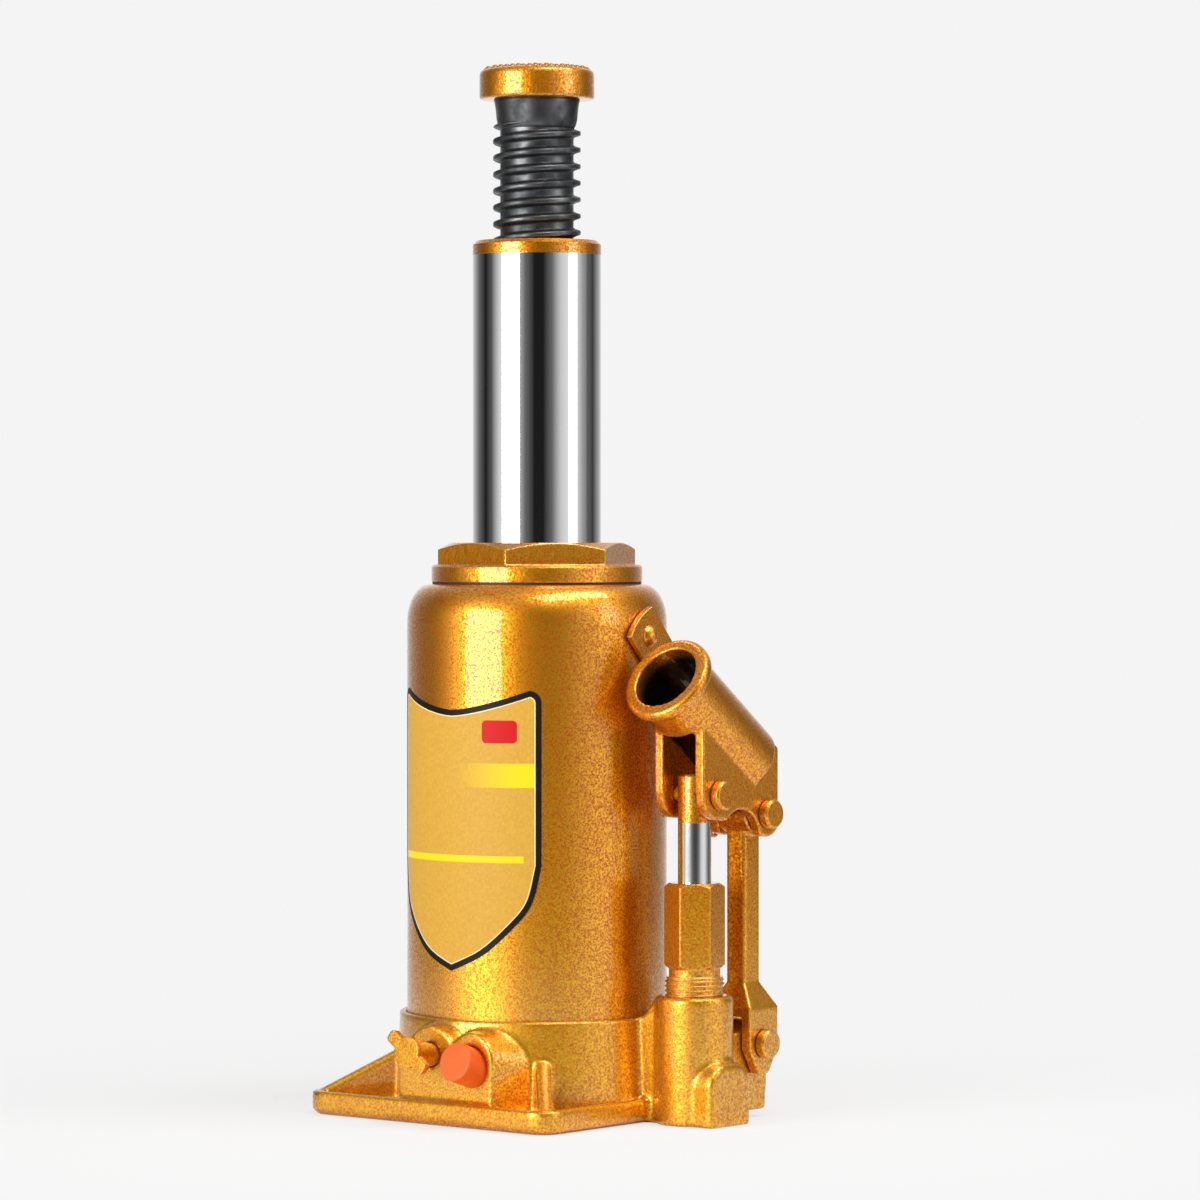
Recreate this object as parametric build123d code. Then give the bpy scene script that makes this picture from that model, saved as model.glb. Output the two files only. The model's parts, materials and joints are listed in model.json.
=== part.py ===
from build123d import *
import os
from math import atan2, cos, degrees, pi, radians, sin, sqrt, tan

# Hydraulic bottle jack, shown as photographed: ram partly raised, extension screw wound out.
# Lengths are in millimetres. +Z is up, the origin is the ram axis at ground level,
# the release valve faces -Y and the hand pump stands on the +X side.

# Clearances
slip_gap = 0.3            # between pieces that must never touch
turn_gap = 0.1            # a pin in its eye, a thread in its nut
slide_gap = 0.05          # the ram and the plunger in their bores

# Travel, and the poses shown
ram_travel = 142.0
ram_lifted = 104.5        # how far the ram stands above its lowest place
screw_travel = 60.0
screw_lifted = 51.5       # how far the screw is wound out

# Base casting
ring_height = 37.5
ring_wall = 2.3
ring_draft = 1.6
hub_height = 34.0
plate_floor = 5.0
plate_rim = 8.7
plate_lip = 3.4
plate_corner = 9.0
plate_round = 2.0
plate_left = 11.0         # how far the plate reaches past the ring, on each side
plate_right = 5.0
plate_front = 10.2
plate_back = 12.0
rib_thickness = 5.4
rib_height = 26.0

# Oil tank
tank_radius = 47.5
tank_wall = 3.0
tank_length = 160.5
tank_seat_depth = 5.0
tank_seal = 1.5
shoulder_drop = 14.0
mouth_land = 2.9          # flat ring round the tank's mouth

# Pressure cylinder
mouth_gap = 3.8           # from the cylinder out to the tank's mouth
cylinder_wall = 6.0
cylinder_foot = 15.0
foot_gasket = 1.0
chamber_depth = 2.5
chamber_step = 4.0        # from the cylinder's bore in to the oil chamber
cylinder_into_cap = 3.2
limit_port = 1.2            # hole that ends the lift by letting the oil back to the tank

# Cap nut
cap_seal = 0.8
cap_overlap = 2.8         # how far the flange reaches past the tank's mouth
cap_flange = 6.2
cap_hex_height = 8.0
cap_hex_step = 1.8        # from the flange's rim in to the hexagon's corners
cap_hex_turn = -7.8
cap_spigot = 7.0
wiper_height = 3.2
wiper_depth = 2.4
wiper_below_top = 2.0

# Ram and its piston
ram_radius = 23.5
piston_step = 2.5         # from the ram out to the cylinder's bore
ram_above_cap = 5.5       # what shows of the ram when it is right down
ram_nut_depth = 34.0      # threaded stretch at the mouth of the ram
ram_bore_depth = 108.0
piston_land = 12.0
cup_height = 8.0
cup_lip = 3.0
cup_groove = 4.0
backing_thickness = 2.5
backing_step = 4.6
piston_nut_thickness = 5.0
piston_nut_corner = 15.0
piston_stud_radius = 10.0
piston_floor_gap = 0.1

# Extension screw and its stop
ram_wall = 7.5            # from the ram's outside in to the screw
saddle_step = 2.5         # from the ram's outside in to the saddle's rim
saddle_thickness = 12.0
saddle_chamfer = 1.2
stop_ring_height = 4.0
stop_ring_reach = 1.9
stop_groove_depth = 3.0
stop_groove_above_end = 2.0
thread_pitch = 6.0
thread_depth = 2.6
thread_crest = 0.8        # width of a crest; the flanks and the root take the rest
thread_flank = 1.2
thread_land = 3.0         # plain shank between the stop groove and the thread
neck_length = 9.9         # plain neck under the saddle
neck_step = 1.0           # from the crests in to the neck

# Hand pump
pump_y = 7.0
boss_radius = 14.0
boss_height = 46.0
boss_web = 20.0
pump_hex_corner = 10.9
pump_hex_height = 30.9
pump_hex_turn = 39.5
pump_neck = 9.4
pump_thread_radius = 10.1
pump_seat_height = 16.0
pump_washer = 1.5
plunger_radius = 6.0
plunger_above_pin = 7.3
plunger_above_seat = 26.3
plunger_seal_height = 3.0
plunger_seal_depth = 1.8
plunger_seal_above_end = 4.0
pump_wiper_height = 2.4
pump_wiper_depth = 1.6
pump_wiper_below_top = 3.1
pump_off_strap = 0.9       # from the carry strap to the socket's lip
block_width = 22.8
block_height = 22.5
block_corner = 8.5
block_reach = 17.0

# Pump linkage
arm_y = 28.2              # from the plunger pin back to the fulcrum pin
fulcrum_height = 110.1
plunger_pin_rise = 7.9    # how far the plunger pin stands above the fulcrum pin here
foot_pin_height = 26.9
plunger_pin_radius = 3.2
link_pin_radius = 3.9
pin_head_radius = 5.3
pin_head_thickness = 3.3
pin_head_gap = 0.4
pin_tail = 4.6
pivot_travel = 1.5        # fore and aft play of the plunger pin in its slot
cotter_leg = 1.2
cotter_eye = 2.2
cotter_wire = 0.75
link_bar_x = 8.6
link_bar_y = 9.4
link_eye_radius = 7.4
link_eye_x = 13.8
fork_width = 16.6
fork_cheek = 4.0
fork_top = 40.0
fork_flare = 8.5
fork_below_pin = 11.0
ear_thickness = 10.8
ear_radius = 8.5
ear_foot = 2.5

# Handle socket
mouth_y = -9.8
mouth_rise = 50.3         # the socket's mouth above the fulcrum pin
socket_slope = 36.3
socket_radius = 14.6
socket_bore = 12.3
lip_radius = 17.0
lip_length = 5.0
tube_length = 54.0
bore_depth = 51.0
cheek_crown = 9.0        # height of the cheeks above the tube's axis behind the tube
cheek_thickness = 3.9
cheek_gap = 14.6
cheek_front = 9.1
plunger_lobe = 8.9
fulcrum_lobe = 8.3
socket_back = 6.4
slot_start = 17.0
slot_drop = 4.0
waist_radius = 11.3
waist_share = 0.455
waist_below = 9.1

# Carry handle
strap_width = 16.0
strap_thickness = 2.2
strap_gap = 0.4
strap_bend = 9.0
carry_below_top = 18.5    # the rivets below the tank's top
carry_rest_gap = 0.35
carry_y = 3.8             # the rivets behind the tank's middle
carry_hang = 48.0
strap_end = 8.6           # from the rivet to the middle of the strap's end
strap_end_round = 21.0
rivet_radius = 3.0
rivet_head_radius = 4.1
rivet_head_height = 2.4
rivet_sunk = 1.6

# Valve block on the front of the base
valve_front = 4.1         # how far its face stands behind the plate's front edge
release_x = -2.6
release_z = 25.0
release_slope = 8.0
release_hump = 12.0
release_hump_drop = 1.7
overload_x = 16.3
overload_z = 21.6
overload_slope = 17.8
overload_hump = 10.0
overload_hump_rise = 2.3
valve_side = 3.5          # its left side stands past the large hump
valve_flare = 5.7         # the humps widen by this much towards the ring
valve_rise = 1.3          # and rise by this much

# Release valve
release_bore_depth = 20.0
release_stem_radius = 4.2
release_seat = 3.0
release_ball_radius = 2.5
release_stem_out = 11.0
release_groove_at = 11.0
release_groove_depth = 1.1
release_seal_height = 1.6
wing_span = 21.0
wing_hub = 11.2
wing_arm = 4.6
wing_thickness = 2.6
wing_turn = 35.0

# Overload valve
overload_bore_radius = 5.2
overload_bore_depth = 22.0
overload_ball_radius = 2.5
overload_screw_length = 5.5
overload_spring_length = 5.0
overload_cap_radius = 7.0
overload_cap_proud = 9.0
overload_plug = 2.2

# Check valves under the pump
inlet_ball_radius = 2.3
inlet_pocket = 6.0
outlet_ball_radius = 2.0
outlet_seat_reach = 6.0
outlet_height = 11.6
outlet_plug_radius = 4.0
outlet_plug_length = 4.2
port_radius = 1.3
passage_radius = 2.0

# Filler plug
filler_angle = 135.0
filler_below_top = 33.0
filler_radius = 4.5
filler_head_radius = 7.0
filler_head = 2.6

# Sizes that follow
ring_radius = tank_radius + slip_gap + ring_wall
bore_radius = ram_radius + piston_step
cylinder_radius = bore_radius + cylinder_wall
chamber_radius = bore_radius - chamber_step
tank_mouth_radius = cylinder_radius + mouth_gap
shoulder_run = tank_radius - tank_mouth_radius - mouth_land
screw_radius = ram_radius - ram_wall
saddle_radius = ram_radius - saddle_step
backing_radius = bore_radius - backing_step
cap_flange_radius = tank_mouth_radius + cap_overlap
cap_hex_corner = cap_flange_radius - cap_hex_step
tank_foot = ring_height - tank_seat_depth
tank_top = tank_foot + tank_length
flange_foot = tank_top + cap_seal
hex_foot = flange_foot + cap_flange
cap_top = hex_foot + cap_hex_height
cylinder_top = flange_foot + cylinder_into_cap
ram_top = cap_top + ram_above_cap + ram_lifted
chamber_floor = cylinder_foot - foot_gasket - chamber_depth
piston_end = chamber_floor + piston_floor_gap + ram_lifted
stud_length = piston_nut_thickness + backing_thickness + cup_height + slip_gap
cup_foot = piston_end + piston_nut_thickness + backing_thickness + slip_gap / 2
limit_port_height = cup_foot + ram_travel - ram_lifted - limit_port
saddle_foot = ram_top + screw_lifted
saddle_top = saddle_foot + saddle_thickness
stop_stack = stop_groove_above_end + slip_gap + stop_ring_height + slide_gap
screw_length = ram_nut_depth + screw_travel + stop_stack
screw_end = saddle_foot - screw_length
thread_root_radius = screw_radius - thread_depth
neck_radius = screw_radius - neck_step
thread_low = screw_end + stop_groove_above_end + stop_ring_height + 2 * slip_gap + thread_land
thread_turns = int((saddle_foot - neck_length - thread_low) / thread_pitch)
strap_face = tank_radius + strap_gap + strap_thickness
carry_pivot_height = tank_top - carry_below_top
carry_rest = tank_radius + carry_rest_gap - carry_y + strap_width / 2 * sin(radians(carry_hang))
carry_reach = carry_rest / cos(radians(carry_hang)) + strap_thickness
filler_height = tank_top - filler_below_top
pump_x = strap_face + pump_off_strap + lip_radius
plunger_pin_height = fulcrum_height + plunger_pin_rise
plunger_top = plunger_pin_height + plunger_above_pin
plunger_foot = pump_seat_height + plunger_above_seat
mouth_z = fulcrum_height + mouth_rise
link_y = pump_y + arm_y
pump_hex_foot = boss_height + pump_neck
above_casting = boss_height + ring_height
far = 4 * tank_radius
pump_top = pump_hex_foot + pump_hex_height
inlet_floor = pump_seat_height - pump_washer - inlet_pocket
pump_wiper_foot = pump_top - pump_wiper_below_top - pump_wiper_height
plate_x0 = -ring_radius - plate_left
plate_x1 = ring_radius + plate_right
plate_y0 = -ring_radius - plate_front
plate_y1 = ring_radius + plate_back
valve_face = plate_y0 + valve_front
valve_depth = -valve_face - ring_radius * 0.72
release_hump_z = release_z - release_hump_drop
overload_hump_z = overload_z + overload_hump_rise
cheek_face = cheek_gap / 2 + cheek_thickness
link_foot_face = ear_thickness / 2 + slip_gap + fork_cheek


def rod(radius, low, high, x=0, y=0):
    """Upright cylinder between two heights."""
    return Pos(x, y, (low + high) / 2) * Cylinder(radius, high - low)


def sleeve(outer, inner, low, high, x=0, y=0):
    """Upright ring between two heights."""
    return rod(outer, low, high, x, y) - rod(inner, low - 1, high + 1, x, y)


def pin_x(radius, low, high, y, z):
    """Cylinder along X between two places, measured from the pump's middle plane."""
    return Pos(pump_x + (low + high) / 2, y, z) * Rot(0, 90, 0) * Cylinder(radius, high - low)


def plate_x(face, low, high):
    """Side-view outline made solid between two places along X, measured from the pump's middle."""
    return Pos(pump_x + low, 0, 0) * extrude(Plane.YZ * face, high - low)


def spun(*points):
    """Outline of (radius, height) points turned about the ram axis."""
    return revolve(Plane.XZ * make_face(Polyline(*points, close=True)), Axis.Z)


def along(x, y, z, slope):
    """Frame whose +Z leaves the front of the jack, tilted up by the slope."""
    return Location(Plane((x, y, z), x_dir=(1, 0, 0), z_dir=(0, -cos(radians(slope)), sin(radians(slope)))))


def coil(radius, wire, length, turns):
    """Closed-wire compression spring standing on its own axis."""
    path = Helix(length / turns, length, radius)
    section = Plane(path @ 0, z_dir=path % 0) * Circle(wire)
    return sweep(section, path)


# Where each tilted thing sits
release_at = along(release_x, valve_face, release_z, release_slope)
overload_at = along(overload_x, valve_face, overload_z, overload_slope)
socket_at = along(pump_x, mouth_y, mouth_z, socket_slope)
overload_step = overload_cap_radius * tan(radians(overload_slope))


def base_plate():
    """Foot plate with its raised lip."""
    width = plate_x1 - plate_x0
    depth = plate_y1 - plate_y0
    middle = Pos((plate_x0 + plate_x1) / 2, (plate_y0 + plate_y1) / 2)
    outer = RectangleRounded(width, depth, plate_corner)
    inner = RectangleRounded(width - 2 * plate_lip, depth - 2 * plate_lip, plate_corner - plate_lip)
    tray = extrude(outer, plate_rim) - Pos(0, 0, plate_floor) * extrude(inner, plate_rim)
    tray = fillet(tray.edges().group_by(Axis.Z)[-1], plate_lip * 0.35)
    tray = chamfer(tray.edges().group_by(Axis.Z)[0], plate_round)
    return middle * tray


def corner_rib(x, y):
    """Gusset from the ring to one corner of the plate."""
    reach = sqrt(x * x + y * y) - plate_corner * 0.55
    inside = ring_radius - 4
    outline = Polyline(
        (inside, 1), (reach, 1), (reach, plate_rim - 0.6), (inside, rib_height), close=True
    )
    rib = extrude(Plane.XZ * make_face(outline), rib_thickness / 2, both=True)
    rib = fillet(rib.edges().filter_by(Axis.Y, reverse=True).group_by(Axis.Z)[-1], rib_thickness * 0.3)
    return Rot(0, 0, degrees(atan2(y, x))) * rib


def valve_hump(x, z, radius):
    """One hump of the valve block, widening from its face to the ring."""
    front = Plane.XZ * (Location((x, z)) * Circle(radius))
    back = Plane.XZ * (Location((x, z + valve_rise - valve_flare)) * Circle(radius + valve_flare))
    return loft([Pos(0, valve_face, 0) * front, Pos(0, valve_face + valve_depth, 0) * back])


def valve_skirt(low, y, flare, rise):
    """Section of the valve block below its humps, at one place between its face and the ring."""
    left = release_x - release_hump - valve_side
    right = overload_x + overload_hump + flare
    lean = release_hump * sqrt(0.5)
    outline = Polyline(
        (left, low), (left, release_hump_z), (release_x - lean, release_hump_z + lean),
        (release_x, release_hump_z), (right, overload_hump_z + rise - flare), (right, low), close=True
    )
    return Pos(0, y, 0) * (Plane.XZ * make_face(outline))


def valve_block():
    """Boss for the release and overload valves: two humps side by side on the front of the base."""
    low = plate_floor - 1
    block = valve_hump(release_x, release_hump_z, release_hump)
    block += valve_hump(overload_x, overload_hump_z, overload_hump)
    block += loft([
        valve_skirt(low, valve_face, 0, 0),
        valve_skirt(low, valve_face + valve_depth, valve_flare, valve_rise),
    ])
    return block & Pos(0, 0, low + far / 2) * Box(far, far, far)


def pump_boss():
    """Upright boss for the pump, the valve block on its outer side and the ear behind it."""
    boss = rod(boss_radius, 0, boss_height, pump_x, pump_y)
    boss = chamfer(boss.edges().group_by(Axis.Z)[-1], 1.0)
    inner = ring_radius - 8
    neck = ring_radius + 1.5
    shoulder = pump_x - boss_radius * 0.75
    web = make_face(
        Polyline(
            (inner, 0), (pump_x, 0), (pump_x, boss_height - 0.8), (shoulder, boss_height - 0.8),
            (neck, ring_height), (inner, ring_height), close=True
        )
    )
    web = fillet(web.vertices().sort_by_distance((neck, ring_height, 0))[0], 6)
    boss += Pos(0, pump_y, 0) * extrude(Plane.XZ * web, boss_web / 2, both=True)
    arch = Rectangle(block_width, 2 * block_height)
    arch = fillet(arch.vertices(), block_corner)
    arch = Pos(pump_y, 0) * (arch & Pos(0, block_height / 2) * Rectangle(block_width, block_height))
    block = plate_x(arch, 0, block_reach)
    block = fillet(block.edges().group_by(Axis.X)[-1].filter_by(lambda e: e.center().Z > 1), 2.0)
    boss += block
    return boss


def link_ear():
    """Lug behind the pump that the link's forked foot straddles, and the low pad that carries it."""
    side = Circle(ear_radius).moved(Location((link_y, foot_pin_height)))
    side += make_face(
        Polyline(
            (pump_y, ear_foot), (link_y + ear_radius * 0.8, ear_foot),
            (link_y + ear_radius, foot_pin_height), (link_y - ear_radius * 0.5, foot_pin_height + 6),
            (pump_y, foot_pin_height), close=True
        )
    )
    ear = plate_x(side, -ear_thickness / 2, ear_thickness / 2)
    pad_y1 = link_y + ear_radius * 0.6
    pad_x0 = plate_x1 - plate_corner
    pad = RectangleRounded(pump_x - pad_x0, pad_y1 - pump_y + 8, 3)
    pad = extrude(pad, plate_rim - ear_foot)
    pad = fillet(pad.edges().group_by(Axis.Z)[-1], 2)
    middle_y = (pump_y + pad_y1) / 2 - 4
    return ear + Pos((pump_x + pad_x0) / 2, middle_y, ear_foot) * pad


def base_bores(casting):
    """Seats, bores and oil passages cut into the casting."""
    cuts = [
        sleeve(
            tank_radius + slip_gap, tank_radius - tank_wall - slip_gap, tank_foot - tank_seal, above_casting
        ),
        rod(tank_radius, hub_height, above_casting),
        rod(cylinder_radius + turn_gap, cylinder_foot - foot_gasket, above_casting),
        rod(chamber_radius, chamber_floor, above_casting),
        rod(pump_thread_radius + turn_gap, pump_seat_height - pump_washer, above_casting, pump_x, pump_y),
        rod(inlet_ball_radius + slip_gap, inlet_floor, above_casting, pump_x, pump_y),
        rod(port_radius, plate_floor - 1, above_casting, pump_x, pump_y),
        pin_x(link_pin_radius + turn_gap, -link_foot_face, link_foot_face, link_y, foot_pin_height),
    ]
    seat = outlet_seat_reach
    end = block_reach
    plug_foot = end - outlet_plug_length
    cuts += [
        pin_x(port_radius, 0, seat, pump_y, outlet_height),
        pin_x(outlet_ball_radius + slip_gap, seat, end, pump_y, outlet_height),
        pin_x(outlet_plug_radius + turn_gap, plug_foot, end + 1, pump_y, outlet_height),
    ]
    cuts += [
        release_at * Pos(0, 0, -release_bore_depth / 2 + 5) * Cylinder(
            release_stem_radius + turn_gap, release_bore_depth + 10
        ),
        overload_at * Pos(0, 0, -overload_bore_depth / 2) * Cylinder(
            overload_bore_radius, overload_bore_depth
        ),
        overload_at * Pos(0, 0, 10 - overload_step) * Cylinder(overload_cap_radius + slip_gap, 20),
    ]
    gallery_y = valve_face + release_bore_depth - 2
    gallery_end = -chamber_radius + 4
    gallery_z = cylinder_foot - foot_gasket - chamber_depth / 2
    cuts.append(Pos(release_x, (gallery_y + gallery_end) / 2, gallery_z) * Rot(90, 0, 0) * Cylinder(
        passage_radius * 0.5, gallery_end - gallery_y
    ))
    for cut in cuts:
        casting -= cut
    return casting


def base_casting():
    """Foot, ring, gussets, valve block and pump boss in one iron casting."""
    body = base_plate()
    ring = spun((0, 0.5), (ring_radius + ring_draft, 0.5), (ring_radius, ring_height), (0, ring_height))
    body += ring
    for x in (plate_x0, plate_x1):
        for y in (plate_y0, plate_y1):
            body += corner_rib(x, y)
    body += valve_block()
    body += pump_boss()
    body += link_ear()
    return base_bores(body)


def reservoir_tank():
    """Drawn steel tank, open at the foot, with a rounded shoulder and a round mouth on top."""
    straight = tank_top - shoulder_drop
    top_run = tank_radius - shoulder_run
    inner = tank_radius - tank_wall
    lid = tank_top - tank_wall
    outline = [
        Line((tank_radius, tank_foot), (tank_radius, straight)),
        EllipticalCenterArc((top_run, straight), shoulder_run, shoulder_drop, 0),
        Line((top_run, tank_top), (tank_mouth_radius, tank_top)),
        Line((tank_mouth_radius, tank_top), (tank_mouth_radius, lid)),
        EllipticalCenterArc((tank_mouth_radius, straight), inner - tank_mouth_radius, lid - straight, 0),
        Line((inner, straight), (inner, tank_foot)),
        Line((inner, tank_foot), (tank_radius, tank_foot)),
    ]
    tank = revolve(Plane.XZ * make_face(outline), Axis.Z)
    for side in (-1, 1):
        hole = Cylinder(rivet_radius + turn_gap, 2 * rivet_sunk)
        tank -= Pos(side * tank_radius, carry_y, carry_pivot_height) * Rot(0, 90, 0) * hole
    return tank - filler_place() * Cylinder(filler_radius + turn_gap, 20)


def filler_place():
    """Frame on the tank wall, +Z pointing straight out."""
    a = radians(filler_angle)
    return Location(Plane(
        (tank_radius * cos(a), tank_radius * sin(a), filler_height), z_dir=(cos(a), sin(a), 0)
    ))


def pressure_cylinder():
    """Tube the ram's piston runs in, with the small hole that ends its lift."""
    tube = sleeve(cylinder_radius, bore_radius, cylinder_foot, cylinder_top)
    port = Pos(-(bore_radius + cylinder_radius) / 2, 0, limit_port_height) * Rot(0, 90, 0)
    return tube - port * Cylinder(limit_port, cylinder_radius - bore_radius + 4)


def cap_nut():
    """Hexagon nut that closes the tank and guides the ram."""
    flange = spun(
        (0, flange_foot), (cap_flange_radius, flange_foot), (cap_flange_radius, hex_foot - 0.8),
        (cap_flange_radius - 0.8, hex_foot), (0, hex_foot)
    )
    flat = cap_hex_corner * cos(pi / 6)
    drop = (cap_hex_corner - flat + 0.4) * tan(radians(30))
    prism = Rot(0, 0, cap_hex_turn) * extrude(RegularPolygon(cap_hex_corner, 6), cap_hex_height)
    cone = spun(
        (0, hex_foot - 1), (cap_hex_corner + 1, hex_foot - 1), (cap_hex_corner + 1, cap_top - drop),
        (flat - 0.4, cap_top), (0, cap_top)
    )
    nut = flange + (Pos(0, 0, hex_foot) * prism & cone)
    nut += rod(tank_mouth_radius - slip_gap, flange_foot - cap_spigot, flange_foot)
    nut -= rod(cylinder_radius + turn_gap, flange_foot - cap_spigot - 1, cylinder_top + slip_gap)
    nut -= rod(ram_radius + slide_gap, 0, cap_top + 1)
    wiper_top = cap_top - wiper_below_top
    return nut - rod(ram_radius + wiper_depth + turn_gap, wiper_top - wiper_height, wiper_top)


def ram():
    """Hollow ram with its nut thread at the top and the piston land and stud at the bottom."""
    land_foot = piston_end + stud_length
    body = rod(ram_radius, land_foot, ram_top)
    body = chamfer(body.edges().group_by(Axis.Z)[-1], 1.4)
    body += rod(bore_radius - slide_gap, land_foot, land_foot + piston_land)
    body += rod(piston_stud_radius, piston_end, land_foot)
    nut_foot = ram_top - ram_nut_depth
    body -= rod(screw_radius + turn_gap, nut_foot - 1, ram_top + 1)
    wide = screw_radius + stop_ring_reach + slip_gap
    return body - rod(wide, ram_top - ram_bore_depth, nut_foot)


def piston_cup():
    """Cup seal on the piston stud, its open lip turned down to the oil."""
    cup = sleeve(bore_radius - slide_gap, piston_stud_radius + turn_gap, cup_foot, cup_foot + cup_height)
    lip = bore_radius - cup_lip
    return cup - sleeve(lip, lip - cup_groove, cup_foot - 1, cup_foot + cup_height * 0.5)


def piston_washer():
    low = piston_end + piston_nut_thickness
    return sleeve(backing_radius, piston_stud_radius + turn_gap, low, low + backing_thickness)


def piston_nut():
    nut = Pos(0, 0, piston_end) * extrude(RegularPolygon(piston_nut_corner, 6), piston_nut_thickness)
    return nut - rod(piston_stud_radius + turn_gap, piston_end - 1, piston_end + piston_nut_thickness + 1)


def extension_screw():
    """Screw and saddle in one piece; its thread is drawn as level rings with narrow crests."""
    outline = [(0, screw_end), (screw_radius, screw_end), (screw_radius, thread_low)]
    for turn in range(thread_turns):
        low = thread_low + turn * thread_pitch
        high = low + thread_pitch
        outline += [
            (thread_root_radius, low + thread_flank),
            (thread_root_radius, high - thread_crest - thread_flank),
            (screw_radius, high - thread_crest),
            (screw_radius, high),
        ]
    thread_high = thread_low + thread_turns * thread_pitch
    outline += [(neck_radius, thread_high + neck_step), (neck_radius, saddle_foot + 1), (0, saddle_foot + 1)]
    body = spun(*outline)
    body = chamfer(body.edges().group_by(Axis.Z)[0], 1.0)
    head = rod(saddle_radius, saddle_foot, saddle_top)
    head = chamfer(head.edges().group_by(Axis.Z)[-1], saddle_chamfer)
    head = chamfer(head.edges().group_by(Axis.Z)[0], 0.6)
    body += head
    low = screw_end + stop_groove_above_end
    high = low + stop_ring_height + 2 * slip_gap
    return body - sleeve(screw_radius + 1, screw_radius - stop_groove_depth, low, high)


def screw_stop_ring():
    """Split ring in the groove at the screw's end, which meets the ram's nut at full height."""
    low = screw_end + stop_groove_above_end + slip_gap
    inner = screw_radius - stop_groove_depth + turn_gap
    ring = sleeve(screw_radius + stop_ring_reach, inner, low, low + stop_ring_height)
    return ring - Pos(0, screw_radius, low + stop_ring_height / 2) * Box(1.6, 12, stop_ring_height + 2)


def pump_cylinder():
    """Hexagon-bodied pump barrel screwed into its boss."""
    prism = Rot(0, 0, pump_hex_turn) * extrude(RegularPolygon(pump_hex_corner, 6), pump_hex_height)
    prism = Pos(pump_x, pump_y, pump_hex_foot) * prism
    flat = pump_hex_corner * cos(pi / 6)
    drop = (pump_hex_corner - flat + 0.3) * tan(radians(35))
    trim = spun(
        (0, pump_hex_foot), (flat - 0.3, pump_hex_foot), (pump_hex_corner + 0.5, pump_hex_foot + drop * 1.6),
        (pump_hex_corner + 0.5, pump_top - drop * 1.6), (flat - 0.3, pump_top), (0, pump_top)
    )
    barrel = prism & Pos(pump_x, pump_y, 0) * trim
    undercut = pump_hex_foot - 2.6
    barrel += rod(pump_thread_radius, pump_seat_height, undercut, pump_x, pump_y)
    barrel += rod(pump_thread_radius - 0.9, undercut, pump_hex_foot, pump_x, pump_y)
    barrel -= rod(plunger_radius + slide_gap, 0, pump_top + 1, pump_x, pump_y)
    groove_top = pump_wiper_foot + pump_wiper_height
    return barrel - rod(plunger_radius + pump_wiper_depth, pump_wiper_foot, groove_top, pump_x, pump_y)


def pump_wiper():
    outer = plunger_radius + pump_wiper_depth - turn_gap
    low = pump_wiper_foot + turn_gap
    high = pump_wiper_foot + pump_wiper_height - turn_gap
    return sleeve(outer, plunger_radius + slide_gap, low, high, pump_x, pump_y)


def pump_plunger():
    """Plunger with a slot across its top for the plunger pin."""
    body = rod(plunger_radius, plunger_foot, plunger_top, pump_x, pump_y)
    body = chamfer(body.edges().group_by(Axis.Z)[-1], 0.8)
    slot = SlotOverall(2 * (plunger_pin_radius + pivot_travel), 2 * (plunger_pin_radius + slip_gap))
    slot = Pos(pump_y, plunger_pin_height) * slot
    body -= plate_x(slot, -boss_radius, boss_radius)
    seat = plunger_foot + plunger_seal_above_end
    inner = plunger_radius - plunger_seal_depth
    groove = sleeve(plunger_radius + 1, inner, seat, seat + plunger_seal_height, pump_x, pump_y)
    return body - groove


def plunger_seal():
    seat = plunger_foot + plunger_seal_above_end
    inner = plunger_radius - plunger_seal_depth + turn_gap
    return sleeve(plunger_radius, inner, seat + 0.1, seat + plunger_seal_height - 0.1, pump_x, pump_y)


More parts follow.
